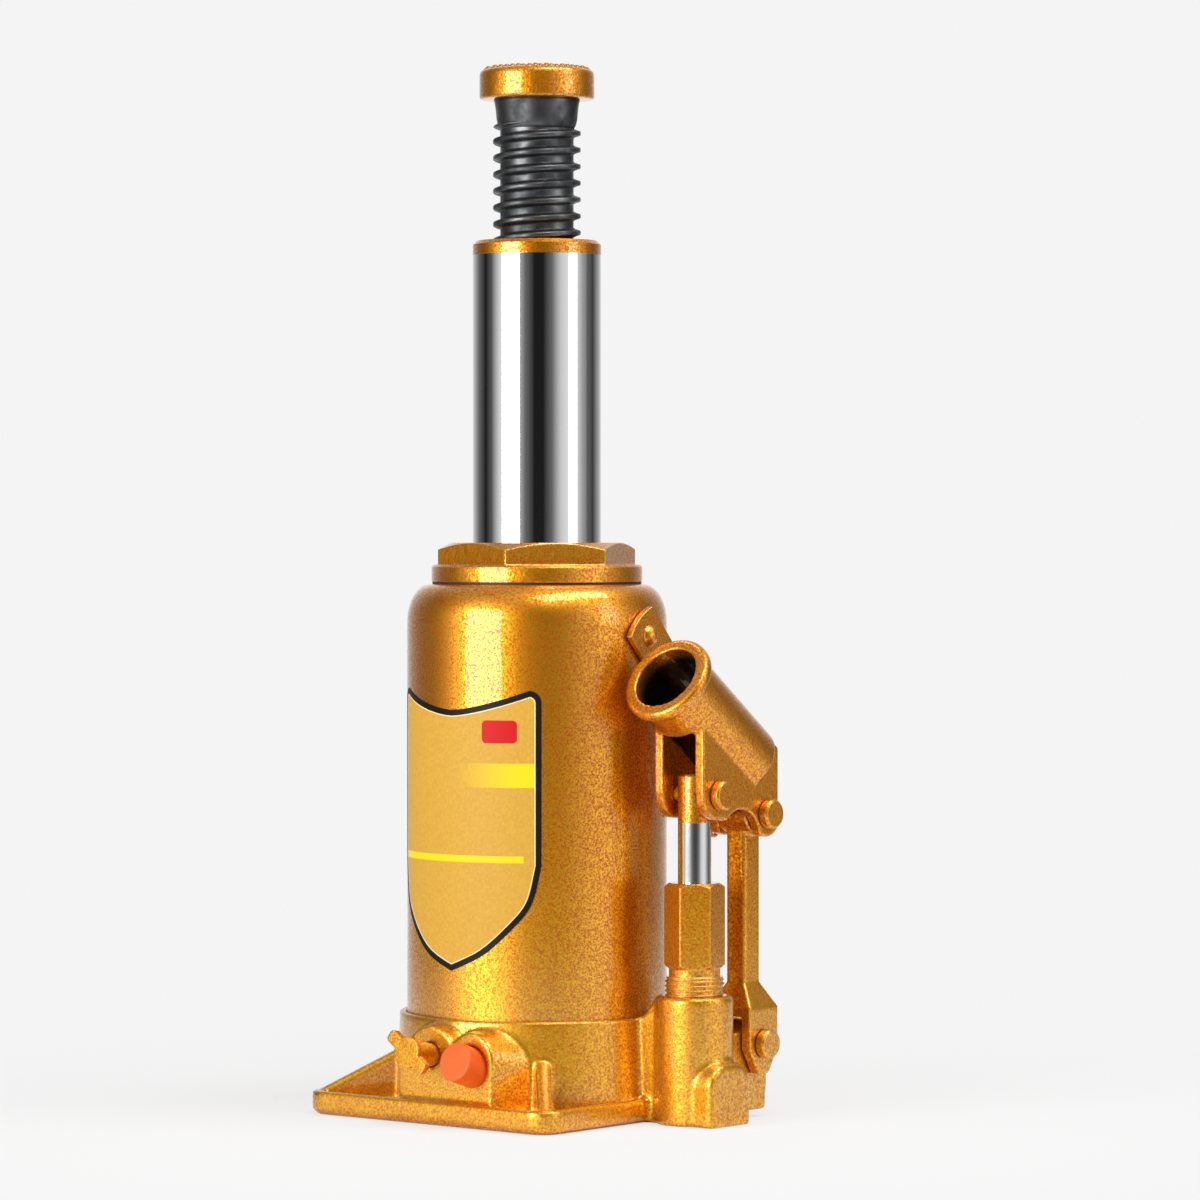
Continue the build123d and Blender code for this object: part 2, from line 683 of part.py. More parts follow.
def handle_socket():
    """Tube for the pump handle with two cheeks below it that carry the pins."""
    up = radians(socket_slope)
    tube = Pos(0, 0, -tube_length / 2) * Cylinder(socket_radius, tube_length)
    lip = Pos(0, 0, -lip_length / 2) * Cylinder(lip_radius, lip_length)
    lip = fillet(lip.edges().filter_by(GeomType.CIRCLE), lip_length * 0.36)
    tube = socket_at * (tube + lip)
    front = pump_y - cheek_front
    back = link_y + socket_back
    axis_front = mouth_z - (front - mouth_y) * tan(up)
    axis_back = mouth_z - (back - mouth_y) * tan(up)
    roof = cheek_crown / cos(up)
    side = Circle(plunger_lobe).moved(Location((pump_y, plunger_pin_height)))
    side += Circle(fulcrum_lobe).moved(Location((link_y, fulcrum_height)))
    side += make_face(
        Polyline(
            (front, plunger_pin_height), (pump_y, plunger_pin_height - plunger_lobe + 0.6),
            (link_y, fulcrum_height - fulcrum_lobe + 0.6), (back, fulcrum_height + 2),
            (back, axis_back + roof), (pump_y + 12, axis_front - (pump_y + 12 - front) * tan(up) + roof),
            (front, axis_front), close=True
        )
    )
    waist_y = pump_y + arm_y * waist_share
    waist_z = (fulcrum_height + plunger_pin_height) / 2 - plunger_lobe - waist_below
    side -= Circle(waist_radius).moved(Location((waist_y, waist_z + waist_radius * 0.44)))
    keep = Pos((front + back) / 2, fulcrum_height) * Rectangle(back - front, far)
    cheeks = plate_x(side & keep, -cheek_face, cheek_face)
    socket = tube + cheeks
    bore = Pos(0, 0, 2 - bore_depth / 2) * Cylinder(socket_bore, bore_depth + 4)
    slot = Pos(0, -far / 2 - slot_drop, -slot_start - far / 2) * Box(cheek_gap, far, far)
    socket -= socket_at * bore
    socket -= socket_at * slot
    under = slot_drop / cos(up)
    gap = make_face(
        Polyline(
            (front - 1, 0), (back + 1, 0), (back + 1, axis_back - under), (front - 1, axis_front - 14),
            close=True
        )
    )
    socket -= plate_x(gap, -cheek_gap / 2, cheek_gap / 2)
    socket -= pin_x(plunger_pin_radius + turn_gap, -far, far, pump_y, plunger_pin_height)
    return socket - pin_x(link_pin_radius + turn_gap, -far, far, link_y, fulcrum_height)


def link():
    """Pull link: an eye between the cheeks, a bar, and a fork over the ear of the base."""
    bar_x = link_bar_x / 2
    bar_y = link_bar_y / 2
    flare_top = fork_top + fork_flare
    bar = Pos(pump_x, link_y, (flare_top + fulcrum_height) / 2) * Box(
        link_bar_x, link_bar_y, fulcrum_height - flare_top
    )
    bar = fillet(bar.edges().filter_by(Axis.Z), 1.2)
    eye = pin_x(link_eye_radius, -link_eye_x / 2, link_eye_x / 2, link_y, fulcrum_height)
    half = fork_width / 2
    foot = foot_pin_height - fork_below_pin
    side = make_face(
        Polyline(
            (link_y - half, fork_top), (link_y + half, fork_top), (link_y + half, foot_pin_height - 2),
            (link_y + half * 0.35, foot), (link_y - half * 0.35, foot), (link_y - half, foot_pin_height - 2),
            close=True
        )
    )
    side = fillet(side.vertices().group_by(Axis.Y)[0], 2)
    fork = plate_x(side, -link_foot_face, link_foot_face)
    wide = Rectangle(2 * link_foot_face, fork_width)
    narrow = Pos(0, 0, fork_flare) * Rectangle(2 * bar_x, 2 * bar_y)
    flare = Pos(pump_x, link_y, fork_top) * loft([wide, narrow])
    gap_top = foot_pin_height + ear_radius + 1.5
    gap = Box(ear_thickness + 2 * slip_gap, far, gap_top - foot + 4)
    gap = Pos(pump_x, link_y, (foot + gap_top) / 2 - 2) * gap
    body = bar + eye + flare + (fork - gap)
    body -= pin_x(link_pin_radius + turn_gap, -far, far, link_y, fulcrum_height)
    return body - pin_x(link_pin_radius + turn_gap, -far, far, link_y, foot_pin_height)


def clevis_pin(radius, face, y, z):
    """Headed pin through two cheeks, drilled at its tail for a cotter."""
    head_low = face + pin_head_gap
    head = pin_x(pin_head_radius, head_low, head_low + pin_head_thickness, y, z)
    head = chamfer(head.edges().group_by(Axis.X)[-1], 0.7)
    pin = head + pin_x(radius, -face - pin_tail, head_low, y, z)
    tail = pump_x - face - pin_tail / 2
    return pin - Pos(tail, y, z) * Cylinder(cotter_leg + turn_gap, 4 * radius)


def cotter(radius, face, y, z, wire=cotter_wire):
    """Split pin through the tail of a clevis pin, eye down, tips spread above."""
    x = pump_x - face - pin_tail / 2
    low = z - radius - 0.5
    pin = rod(cotter_leg, low, z + radius + 1.2, x, y)
    pin += Pos(x, y, low - cotter_eye) * Rot(0, 90, 0) * Torus(cotter_eye, wire)
    for side in (-1, 1):
        tip = Rot(side * 38, 0, 0) * Pos(0, 0, 1.6) * Cylinder(wire, 3.2)
        pin += Pos(x, y - side * 0.3, z + radius + 0.9) * tip
    return pin


def carry_handle():
    """Flat strap bent to a U, hung on the tank's two rivets and resting against its back."""
    outer = Rectangle(2 * strap_face, 2 * carry_reach)
    outer = fillet(outer.vertices(), strap_bend)
    inner_x = strap_face - strap_thickness
    inner_y = carry_reach - strap_thickness
    inner = Rectangle(2 * inner_x, 2 * inner_y)
    inner = fillet(inner.vertices(), strap_bend - strap_thickness)
    half = strap_width / 2
    band = outer - inner
    band &= Pos(0, (carry_reach - strap_end) / 2) * Rectangle(far, carry_reach + strap_end)
    strap = extrude(band, half, both=True)
    for side in (-1, 1):
        x = side * (strap_face - strap_thickness / 2)
        end = Pos(x, -half, 0) * Box(strap_thickness + 1, strap_width, strap_width + 1)
        tip = Pos(x, strap_end_round - strap_end, 0) * Rot(0, 90, 0)
        tip *= Cylinder(strap_end_round, strap_thickness + 2)
        strap -= end - tip
        strap -= Pos(x, 0, 0) * Rot(0, 90, 0) * Cylinder(rivet_radius + turn_gap, strap_thickness + 2)
    return Pos(0, carry_y, carry_pivot_height) * Rot(-carry_hang, 0, 0) * strap


def carry_rivets():
    """Two domed rivets that carry the strap on the tank."""
    shank_low = tank_radius - rivet_sunk + turn_gap
    head_low = strap_face + turn_gap
    bulge = (rivet_head_radius**2 + rivet_head_height**2) / (2 * rivet_head_height)
    rivets = []
    for side in (-1, 1):
        shank = Pos(0, 0, (shank_low + head_low) / 2) * Cylinder(rivet_radius, head_low - shank_low)
        dome = Pos(0, 0, head_low + rivet_head_height - bulge) * Sphere(bulge)
        dome &= Pos(0, 0, head_low + 10) * Cylinder(rivet_head_radius, 20)
        rivet = Rot(0, side * 90, 0) * (shank + dome)
        rivets.append(Pos(0, carry_y, carry_pivot_height) * rivet)
    return Compound(children=rivets)


def release_valve():
    """Threaded stem with a wing key on its end."""
    low = -release_bore_depth + release_seat + release_ball_radius
    stem = Pos(0, 0, (low + release_stem_out) / 2) * Cylinder(release_stem_radius, release_stem_out - low)
    stem = chamfer(stem.edges().group_by(Axis.Z)[0], 1.2)
    groove = Pos(0, 0, -release_groove_at) * (
        Cylinder(release_stem_radius + 1, release_seal_height + 0.2)
        - Cylinder(release_stem_radius - release_groove_depth, release_seal_height + 1)
    )
    wing = Circle(wing_hub / 2) + RectangleRounded(wing_span, wing_arm, wing_arm * 0.3)
    wing = extrude(wing, wing_thickness)
    wing = Rot(0, 0, -wing_turn) * wing
    return release_at * (stem - groove + Pos(0, 0, release_stem_out - 0.4) * wing)


def release_seal():
    """O-ring on the release stem."""
    ring = Cylinder(release_stem_radius, release_seal_height)
    ring -= Cylinder(release_stem_radius - release_groove_depth + slide_gap, 10)
    return release_at * Pos(0, 0, -release_groove_at) * ring


def release_ball():
    low = -release_bore_depth + 0.1
    return release_at * Pos(0, 0, low + release_ball_radius) * Sphere(release_ball_radius)


def overload_ball():
    low = -overload_bore_depth + 0.1
    return overload_at * Pos(0, 0, low + overload_ball_radius) * Sphere(overload_ball_radius)


def overload_spring():
    low = -overload_bore_depth + 2 * overload_ball_radius + 0.9
    return overload_at * Pos(0, 0, low) * coil(3.0, 0.6, overload_spring_length, 3)


def overload_screw():
    """Adjusting screw with a slot for the driver."""
    low = -overload_bore_depth + 2 * overload_ball_radius + overload_spring_length + 1.8
    screw = Pos(0, 0, low + overload_screw_length / 2) * Cylinder(
        overload_bore_radius - turn_gap, overload_screw_length
    )
    screw -= Pos(0, 0, low + overload_screw_length) * Box(20, 1.4, 3)
    return overload_at * screw


def overload_cap():
    """Soft plug pressed over the overload valve."""
    head_low = -overload_step + 0.1
    head = Pos(0, 0, (head_low + overload_cap_proud) / 2) * Cylinder(
        overload_cap_radius, overload_cap_proud - head_low
    )
    head = fillet(head.edges().group_by(Axis.Z)[-1], 0.8)
    plug = Pos(0, 0, head_low - overload_plug / 2 + 0.5) * Cylinder(
        overload_bore_radius - turn_gap, overload_plug + 1
    )
    return overload_at * (head + plug)


def inlet_ball():
    return Pos(pump_x, pump_y, inlet_floor + inlet_ball_radius + 0.1) * Sphere(inlet_ball_radius)


def outlet_ball():
    x = pump_x + outlet_seat_reach + outlet_ball_radius + 0.1
    return Pos(x, pump_y, outlet_height) * Sphere(outlet_ball_radius)


def outlet_spring():
    start = outlet_seat_reach + 2 * outlet_ball_radius + 0.6
    length = block_reach - outlet_plug_length - start - 0.5
    spring = coil(1.5, 0.3, length, 2)
    return Pos(pump_x + start, pump_y, outlet_height) * Rot(0, 90, 0) * spring


def outlet_plug():
    """Plain plug pressed flush into the block and painted over."""
    low = block_reach - outlet_plug_length + 0.1
    return pin_x(outlet_plug_radius, low, block_reach, pump_y, outlet_height)


def filler_plug():
    """Rubber filler plug in the tank wall."""
    head = Pos(0, 0, 0.5 + filler_head / 2) * Cylinder(filler_head_radius, filler_head)
    head = fillet(head.edges().group_by(Axis.Z)[-1], 1.0)
    stem = Pos(0, 0, -tank_wall / 2) * Cylinder(filler_radius, tank_wall + 2)
    return filler_place() * (head + stem)


def cap_gasket():
    return sleeve(cap_flange_radius - 0.4, tank_mouth_radius + 0.2, tank_top, flange_foot)


def tank_gasket():
    inner = tank_radius - tank_wall
    return sleeve(tank_radius, inner, tank_foot - tank_seal, tank_foot)


def cylinder_gasket():
    return sleeve(cylinder_radius - 0.4, bore_radius + 0.5, cylinder_foot - foot_gasket, cylinder_foot)


def ram_wiper():
    wiper_top = cap_top - wiper_below_top
    low = wiper_top - wiper_height + 0.1
    return sleeve(ram_radius + wiper_depth, ram_radius + slide_gap, low, wiper_top - 0.1)


def pump_gasket():
    low = pump_seat_height - pump_washer
    return sleeve(pump_thread_radius - 0.3, plunger_radius, low, pump_seat_height, pump_x, pump_y)


pieces = {
    "base_casting": base_casting(),
    "reservoir_tank": reservoir_tank(),
    "tank_gasket": tank_gasket(),
    "pressure_cylinder": pressure_cylinder(),
    "cylinder_gasket": cylinder_gasket(),
    "cap_nut": cap_nut(),
    "cap_gasket": cap_gasket(),
    "ram_wiper": ram_wiper(),
    "ram": ram(),
    "piston_cup": piston_cup(),
    "piston_washer": piston_washer(),
    "piston_nut": piston_nut(),
    "extension_screw": extension_screw(),
    "screw_stop_ring": screw_stop_ring(),
    "pump_cylinder": pump_cylinder(),
    "pump_gasket": pump_gasket(),
    "pump_wiper": pump_wiper(),
    "pump_plunger": pump_plunger(),
    "plunger_seal": plunger_seal(),
    "handle_socket": handle_socket(),
    "link": link(),
    "plunger_pin": clevis_pin(plunger_pin_radius, cheek_face, pump_y, plunger_pin_height),
    "fulcrum_pin": clevis_pin(link_pin_radius, cheek_face, link_y, fulcrum_height),
    "foot_pin": clevis_pin(link_pin_radius, link_foot_face, link_y, foot_pin_height),
    "plunger_pin_cotter": cotter(plunger_pin_radius, cheek_face, pump_y, plunger_pin_height),
    "fulcrum_pin_cotter": cotter(link_pin_radius, cheek_face, link_y, fulcrum_height),
    "foot_pin_cotter": cotter(link_pin_radius, link_foot_face, link_y, foot_pin_height),
    "carry_handle": carry_handle(),
    "carry_rivets": carry_rivets(),
    "release_valve": release_valve(),
    "release_seal": release_seal(),
    "release_ball": release_ball(),
    "overload_cap": overload_cap(),
    "overload_screw": overload_screw(),
    "overload_spring": overload_spring(),
    "overload_ball": overload_ball(),
    "inlet_ball": inlet_ball(),
    "outlet_ball": outlet_ball(),
    "outlet_spring": outlet_spring(),
    "outlet_plug": outlet_plug(),
    "filler_plug": filler_plug(),
}

os.makedirs("parts", exist_ok=True)
for name, piece in pieces.items():
    export_step(piece, f"parts/{name}.step")
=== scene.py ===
import bmesh
import bpy
import json
import math
from mathutils import Matrix, Vector

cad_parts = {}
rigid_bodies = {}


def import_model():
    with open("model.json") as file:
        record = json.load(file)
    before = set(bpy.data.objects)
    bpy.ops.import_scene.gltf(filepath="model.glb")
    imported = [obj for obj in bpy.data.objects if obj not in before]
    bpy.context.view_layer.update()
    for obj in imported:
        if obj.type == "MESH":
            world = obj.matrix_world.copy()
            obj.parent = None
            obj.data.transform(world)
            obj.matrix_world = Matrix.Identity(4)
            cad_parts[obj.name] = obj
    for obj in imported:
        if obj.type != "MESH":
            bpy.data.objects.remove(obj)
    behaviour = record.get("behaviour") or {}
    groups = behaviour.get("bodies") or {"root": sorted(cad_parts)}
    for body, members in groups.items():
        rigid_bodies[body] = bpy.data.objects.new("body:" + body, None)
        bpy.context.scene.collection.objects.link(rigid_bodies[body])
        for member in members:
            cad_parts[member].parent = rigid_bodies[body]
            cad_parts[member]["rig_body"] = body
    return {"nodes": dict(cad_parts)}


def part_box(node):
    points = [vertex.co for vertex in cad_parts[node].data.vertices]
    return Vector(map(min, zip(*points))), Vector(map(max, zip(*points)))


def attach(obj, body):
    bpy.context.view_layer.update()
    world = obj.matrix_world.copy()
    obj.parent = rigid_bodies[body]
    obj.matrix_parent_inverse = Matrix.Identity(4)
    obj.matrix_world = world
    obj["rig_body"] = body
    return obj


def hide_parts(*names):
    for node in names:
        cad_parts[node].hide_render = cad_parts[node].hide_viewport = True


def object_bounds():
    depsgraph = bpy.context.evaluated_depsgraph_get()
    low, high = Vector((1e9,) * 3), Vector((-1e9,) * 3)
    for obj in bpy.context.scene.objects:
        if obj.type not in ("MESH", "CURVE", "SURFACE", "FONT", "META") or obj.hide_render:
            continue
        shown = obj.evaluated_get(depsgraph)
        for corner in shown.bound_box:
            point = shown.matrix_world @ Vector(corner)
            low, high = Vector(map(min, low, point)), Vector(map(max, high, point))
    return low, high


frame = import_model()
cad_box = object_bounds()

# Where the photographer stands
VIEW_TURN = math.radians(39.5)        # from the jack's front, round towards the pump
TO_CAMERA = Vector((math.sin(VIEW_TURN), -math.cos(VIEW_TURN), 0))
TO_RIGHT = Vector((math.cos(VIEW_TURN), math.sin(VIEW_TURN), 0))
VIEW_DISTANCE = 1.9
VIEW_HEIGHT = 0.216
LOOK_AT = Vector((0.0178, 0.0146, 0.187))
PICTURE_SIDE = 1200
FOCAL_PIXELS = 5200
SENSOR = 36.0

# Backdrop grey, as a linear value
BACKDROP = 0.905

# Sizes read from the model
TANK_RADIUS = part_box("reservoir_tank")[1].x
SCREW_LOW, SCREW_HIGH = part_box("extension_screw")
SADDLE_RADIUS = SCREW_HIGH.x
PUMP_LOW, PUMP_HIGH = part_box("pump_cylinder")
PUMP_X = (PUMP_LOW.x + PUMP_HIGH.x) / 2
PUMP_Y = (PUMP_LOW.y + PUMP_HIGH.y) / 2

# Extension screw
SADDLE_THICKNESS = 0.012
SCREW_CREST = 0.0160
SCREW_ROOT = 0.0134
SCREW_PITCH = 0.00603
NECK_RADIUS = 0.0151
NECK_LENGTH = 0.0098
SADDLE_FOOT = SCREW_HIGH.z - SADDLE_THICKNESS

# Where the paint ends on the two bright rods
RAM_PAINT_FOOT = 0.3128
PLUNGER_PAINT_FOOT = 0.1079

# Colours, linear
GOLD = (0.93, 0.46, 0.016, 1)
GOLD_DEEP = (0.52, 0.108, 0.001, 1)
# Paler golds for the lowest parts of the enamel: painted light bounced up from the floor
GOLD_BOUNCE_LIT = (0.95, 0.52, 0.032, 1)
GOLD_DEEP_BOUNCE_LIT = (0.56, 0.18, 0.006, 1)
# Paler gold painted along sharp edges: a painted highlight
GOLD_EDGE_HIGHLIGHT = (1.0, 0.66, 0.24, 1)
# Near-black painted shade inside the handle socket's bore
BORE_SHADE = (0.020, 0.015, 0.009, 1)
LABEL_GOLD = (0.63, 0.35, 0.046, 1)
LABEL_YELLOW = (0.86, 0.62, 0.008, 1)
LABEL_RED = (0.56, 0.004, 0.006, 1)

# Bore of the handle socket, darkened inside as painted shade: middle of its mouth, way out of it, radius
BORE_MOUTH = (0.068, -0.0098, 0.1604)
BORE_SLOPE = math.radians(36.3)
BORE_OUT = (0.0, -math.cos(BORE_SLOPE), math.sin(BORE_SLOPE))
BORE_RADIUS = 0.0123

# Blank shield label on the tank's front: lower right half of its outline from the tip up, as
# (distance round the tank, height), then its top edge, corners and a height across its middle
LABEL_SIDE = 0.035
LABEL_LOWER = [(0.0, 0.0544), (0.0131, 0.0603), (0.0241, 0.0697), (0.0315, 0.0790), (0.0350, 0.0927)]
LABEL_DIP = 0.1483
LABEL_TOP = 0.1554
LABEL_CORNER = 0.0045
LABEL_WAIST = 0.12

# What is printed on the label: a band that fades in, a stripe that stops short, and a bare block
BAND_HEIGHT, BAND_HALF, BAND_FADE = 0.1250, 0.0043, (0.0, 0.030)
STRIPE_HEIGHT, STRIPE_HALF, STRIPE_END = 0.0950, 0.0012, 0.0285
BLOCK_AROUND, BLOCK_HEIGHT = 0.0196, 0.1406
BLOCK_HALF_WIDTH, BLOCK_HALF_HEIGHT, BLOCK_ROUNDING = 0.0050, 0.0025, 0.0016

# The label's films: how far in from the outline each one runs, and how far off the tank it lies
FIELD_INSET, BORDER_INSET, BORDER_END, LINE_END = 0.001, 0.0001, 0.0022, 0.0026
FILM_FOOT, FIELD_LIFT, BORDER_LIFT, LINE_LIFT = 0.00003, 0.00014, 0.00020, 0.00018

# Fine thread between the pump's hexagon and its boss
PUMP_BOSS_RISE = 0.030
PUMP_THREAD_DEPTH = 0.002
PUMP_THREAD_HEIGHT = 0.0066

# Rounding of painted edges, and distances from the jack over which the floor turns into backdrop
# for the camera, and thins out in reflections
PAINT_EDGE = 0.0009
FLOOR_FADE = (0.10, 0.45)
MIRROR_FADE = (0.3, 0.9)


def add_node(tree, kind, values=None, **settings):
    """New node; a value that is a socket is linked, any other value is set."""
    node = tree.nodes.new(kind)
    for key, value in settings.items():
        setattr(node, key, value)
    for key, value in (values or {}).items():
        socket = node.inputs[key]
        if isinstance(value, bpy.types.NodeSocket):
            tree.links.new(value, socket)
        else:
            socket.default_value = value
    return node


def calc(tree, operation, *values, clamp=False):
    """Math node with its inputs in order; returns its output."""
    node = tree.nodes.new("ShaderNodeMath")
    node.operation = operation
    node.use_clamp = clamp
    for socket, value in zip(node.inputs, values):
        if isinstance(value, bpy.types.NodeSocket):
            tree.links.new(value, socket)
        else:
            socket.default_value = value
    return node.outputs[0]


def vector_calc(tree, operation, first, second=None, out="Vector"):
    """Vector Math node; returns its vector or its value."""
    values = {0: first} if second is None else {0: first, 1: second}
    return add_node(tree, "ShaderNodeVectorMath", values, operation=operation).outputs[out]


def noise(tree, place, scale, detail=2.0, roughness=0.5):
    """Value of a noise pattern at a place."""
    return add_node(tree, "ShaderNodeTexNoise", {
        "Vector": place, "Scale": scale, "Detail": detail, "Roughness": roughness,
    }).outputs["Fac"]


def blend_colour(tree, factor, first, second):
    """Mix of two colours; returns the colour output."""
    node = tree.nodes.new("ShaderNodeMix")
    node.data_type = "RGBA"
    for socket, value in ((node.inputs[0], factor), (node.inputs[6], first), (node.inputs[7], second)):
        if isinstance(value, bpy.types.NodeSocket):
            tree.links.new(value, socket)
        else:
            socket.default_value = value
    return node.outputs[2]


def ramp(tree, value, low, high, out_low=0.0, out_high=1.0):
    """Smooth step between two values; returns the result."""
    node = add_node(tree, "ShaderNodeMapRange", {
        "Value": value, "From Min": low, "From Max": high, "To Min": out_low, "To Max": out_high,
    }, interpolation_type="SMOOTHSTEP")
    return node.outputs["Result"]


def new_group(name, inputs, outputs):
    """Shader group with its named sockets; returns the tree and its two end nodes."""
    tree = bpy.data.node_groups.new(name, "ShaderNodeTree")
    for label, kind, value in inputs:
        socket = tree.interface.new_socket(label, in_out="INPUT", socket_type=kind)
        if value is not None:
            socket.default_value = value
    for label, kind in outputs:
        tree.interface.new_socket(label, in_out="OUTPUT", socket_type=kind)
    return tree, tree.nodes.new("NodeGroupInput"), tree.nodes.new("NodeGroupOutput")


def place_group(tree, group, values):
    """One use of a shader group; returns its outputs."""
    node = tree.nodes.new("ShaderNodeGroup")
    node.node_tree = group
    for key, value in values.items():
        socket = node.inputs[key]
        if isinstance(value, bpy.types.NodeSocket):
            tree.links.new(value, socket)
        else:
            socket.default_value = value
    return node.outputs


def build_flake_group():
    """Metallic flake enamel: pale glossy grains among deep dull ones, over slow drifts of tone, turning paler
    near the floor as painted bounce light.
    """
    tree, start, end = new_group("flake_enamel", [
        ("Vector", "NodeSocketVector", None),
        ("Grain", "NodeSocketFloat", 1500.0),
        ("Contrast", "NodeSocketFloat", 1.0),
        ("Base", "NodeSocketColor", GOLD),
        ("Deep", "NodeSocketColor", GOLD_DEEP),
    ], [
        ("Color", "NodeSocketColor"),
        ("Roughness", "NodeSocketFloat"),
        ("Height", "NodeSocketFloat"),
    ])
    vector = start.outputs["Vector"]
    grain = start.outputs["Grain"]
    fine = noise(tree, vector, grain, 1.0)
    coarse = noise(tree, vector, calc(tree, "MULTIPLY", grain, 0.55), 1.0)
    drift = noise(tree, vector, 28.0)
    grains = calc(tree, "ADD", calc(tree, "MULTIPLY", fine, 0.75), calc(tree, "MULTIPLY", coarse, 0.25))
    spread = calc(tree, "MULTIPLY", calc(tree, "SUBTRACT", grains, 0.5), start.outputs["Contrast"])
    tone = calc(tree, "ADD", calc(tree, "MULTIPLY", spread, 5.6), 0.48)
    sway = calc(tree, "MULTIPLY", calc(tree, "SUBTRACT", drift, 0.5), 0.3)
    tone = calc(tree, "ADD", tone, sway, clamp=True)
    height = add_node(tree, "ShaderNodeSeparateXYZ", {"Vector": vector}).outputs["Z"]
    # Below 3 cm the paler colours take over, fading out by 10 cm: painted bounce light from the floor
    up = ramp(tree, height, 0.03, 0.10)
    bright = blend_colour(tree, up, GOLD_BOUNCE_LIT, start.outputs["Base"])
    deep = blend_colour(tree, up, GOLD_DEEP_BOUNCE_LIT, start.outputs["Deep"])
    colour = blend_colour(tree, tone, deep, bright)
    tree.links.new(colour, end.inputs["Color"])
    tree.links.new(ramp(tree, tone, 0.0, 1.0, 0.52, 0.31), end.inputs["Roughness"])
    tree.links.new(grains, end.inputs["Height"])
    return tree


def build_edge_group():
    """Where an edge sticks out: 1 on sharp outer edges, 0 on open faces; the mask places painted edge
    highlights, the normal rounds the edges.
    """
    tree, start, end = new_group("edge_highlight_and_rounding", [
        ("Radius", "NodeSocketFloat", 0.0008),
        ("Vector", "NodeSocketVector", None),
    ], [("Mask", "NodeSocketFloat"), ("Normal", "NodeSocketVector")])
    soft = add_node(tree, "ShaderNodeBevel", {"Radius": start.outputs["Radius"]}, samples=6)
    face = tree.nodes.new("ShaderNodeNewGeometry")
    same = vector_calc(tree, "DOT_PRODUCT", soft.outputs[0], face.outputs["Normal"], out="Value")
    broken = noise(tree, start.outputs["Vector"], 700.0)
    bent = calc(tree, "SUBTRACT", 1.0, same)
    bent = calc(tree, "MULTIPLY", bent, ramp(tree, broken, 0.3, 0.6, 0.45, 1.2))
    tree.links.new(ramp(tree, bent, 0.02, 0.16), end.inputs["Mask"])
    tree.links.new(soft.outputs[0], end.inputs["Normal"])
    return tree


def build_turned_group():
    """Fine rings left by turning or grinding round an upright axis, with faint blotches."""
    tree, start, end = new_group("turned_metal", [
        ("Vector", "NodeSocketVector", None),
        ("Rings", "NodeSocketFloat", 2600.0),
        ("Blotch", "NodeSocketFloat", 60.0),
    ], [("Rings", "NodeSocketFloat"), ("Blotch", "NodeSocketFloat")])
    stretch = vector_calc(tree, "MULTIPLY", start.outputs["Vector"], (0.02, 0.02, 1.0))
    rings = noise(tree, stretch, start.outputs["Rings"], 3.0)
    blotch = noise(tree, start.outputs["Vector"], start.outputs["Blotch"], 4.0)
    tree.links.new(rings, end.inputs["Rings"])
    tree.links.new(blotch, end.inputs["Blotch"])
    return tree


flake_group = build_flake_group()
edge_group = build_edge_group()
turned_group = build_turned_group()


def new_material(name):
    """Empty material with its shader; returns material, tree, shader and Object coordinates."""
    material = bpy.data.materials.new(name)
    material.use_nodes = True
    tree = material.node_tree
    shader = tree.nodes["Principled BSDF"]
    where = tree.nodes.new("ShaderNodeTexCoord").outputs["Object"]
    return material, tree, shader, where


def set_values(shader, **values):
    for key, value in values.items():
        shader.inputs[key.replace("_", " ")].default_value = value


def painted(name, grain, contrast, relief, lumps=0.0, shaded_bore=False):
    """Gold flake enamel over cast iron or sheet steel, with painted highlights on sharp edges; the handle
    socket's enamel darkens the inside of its bore as painted shade.
    """
    material, tree, shader, where = new_material(name)
    flake = place_group(tree, flake_group, {"Vector": where, "Grain": grain, "Contrast": contrast})
    rim = place_group(tree, edge_group, {"Vector": where, "Radius": PAINT_EDGE})
    # Sharp edges painted paler: a painted highlight
    colour = blend_colour(tree, calc(tree, "MULTIPLY", rim["Mask"], 0.8), flake["Color"], GOLD_EDGE_HIGHLIGHT)
    if shaded_bore:
        # Inside the bore, away from its mouth, the colour goes near-black: painted shade
        inside = vector_calc(tree, "SUBTRACT", where, BORE_MOUTH)
        out = vector_calc(tree, "DOT_PRODUCT", inside, BORE_OUT, out="Value")
        off_axis = vector_calc(tree, "CROSS_PRODUCT", inside, BORE_OUT)
        reach = vector_calc(tree, "LENGTH", off_axis, out="Value")
        bore_shade = calc(tree, "MULTIPLY", ramp(tree, out, -0.007, -0.0015, 1.0, 0.0),
                    calc(tree, "LESS_THAN", reach, BORE_RADIUS + 0.0008))
        bore_shade = calc(tree, "MULTIPLY", bore_shade, ramp(tree, out, -0.049, -0.040))
        colour = blend_colour(tree, bore_shade, colour, BORE_SHADE)
    tree.links.new(colour, shader.inputs["Base Color"])
    tree.links.new(flake["Roughness"], shader.inputs["Roughness"])
    height = flake["Height"]
    if lumps:
        waves = noise(tree, where, 340.0, 2.0, 0.55)
        height = calc(tree, "ADD", height, calc(tree, "MULTIPLY", waves, lumps))
    bump = add_node(tree, "ShaderNodeBump", {
        "Strength": relief, "Distance": 0.0002, "Height": height, "Normal": rim["Normal"],
    })
    tree.links.new(bump.outputs["Normal"], shader.inputs["Normal"])
    set_values(shader, Metallic=0.95, Coat_Weight=1.0, Coat_Roughness=0.06, Coat_IOR=1.45)
    return material


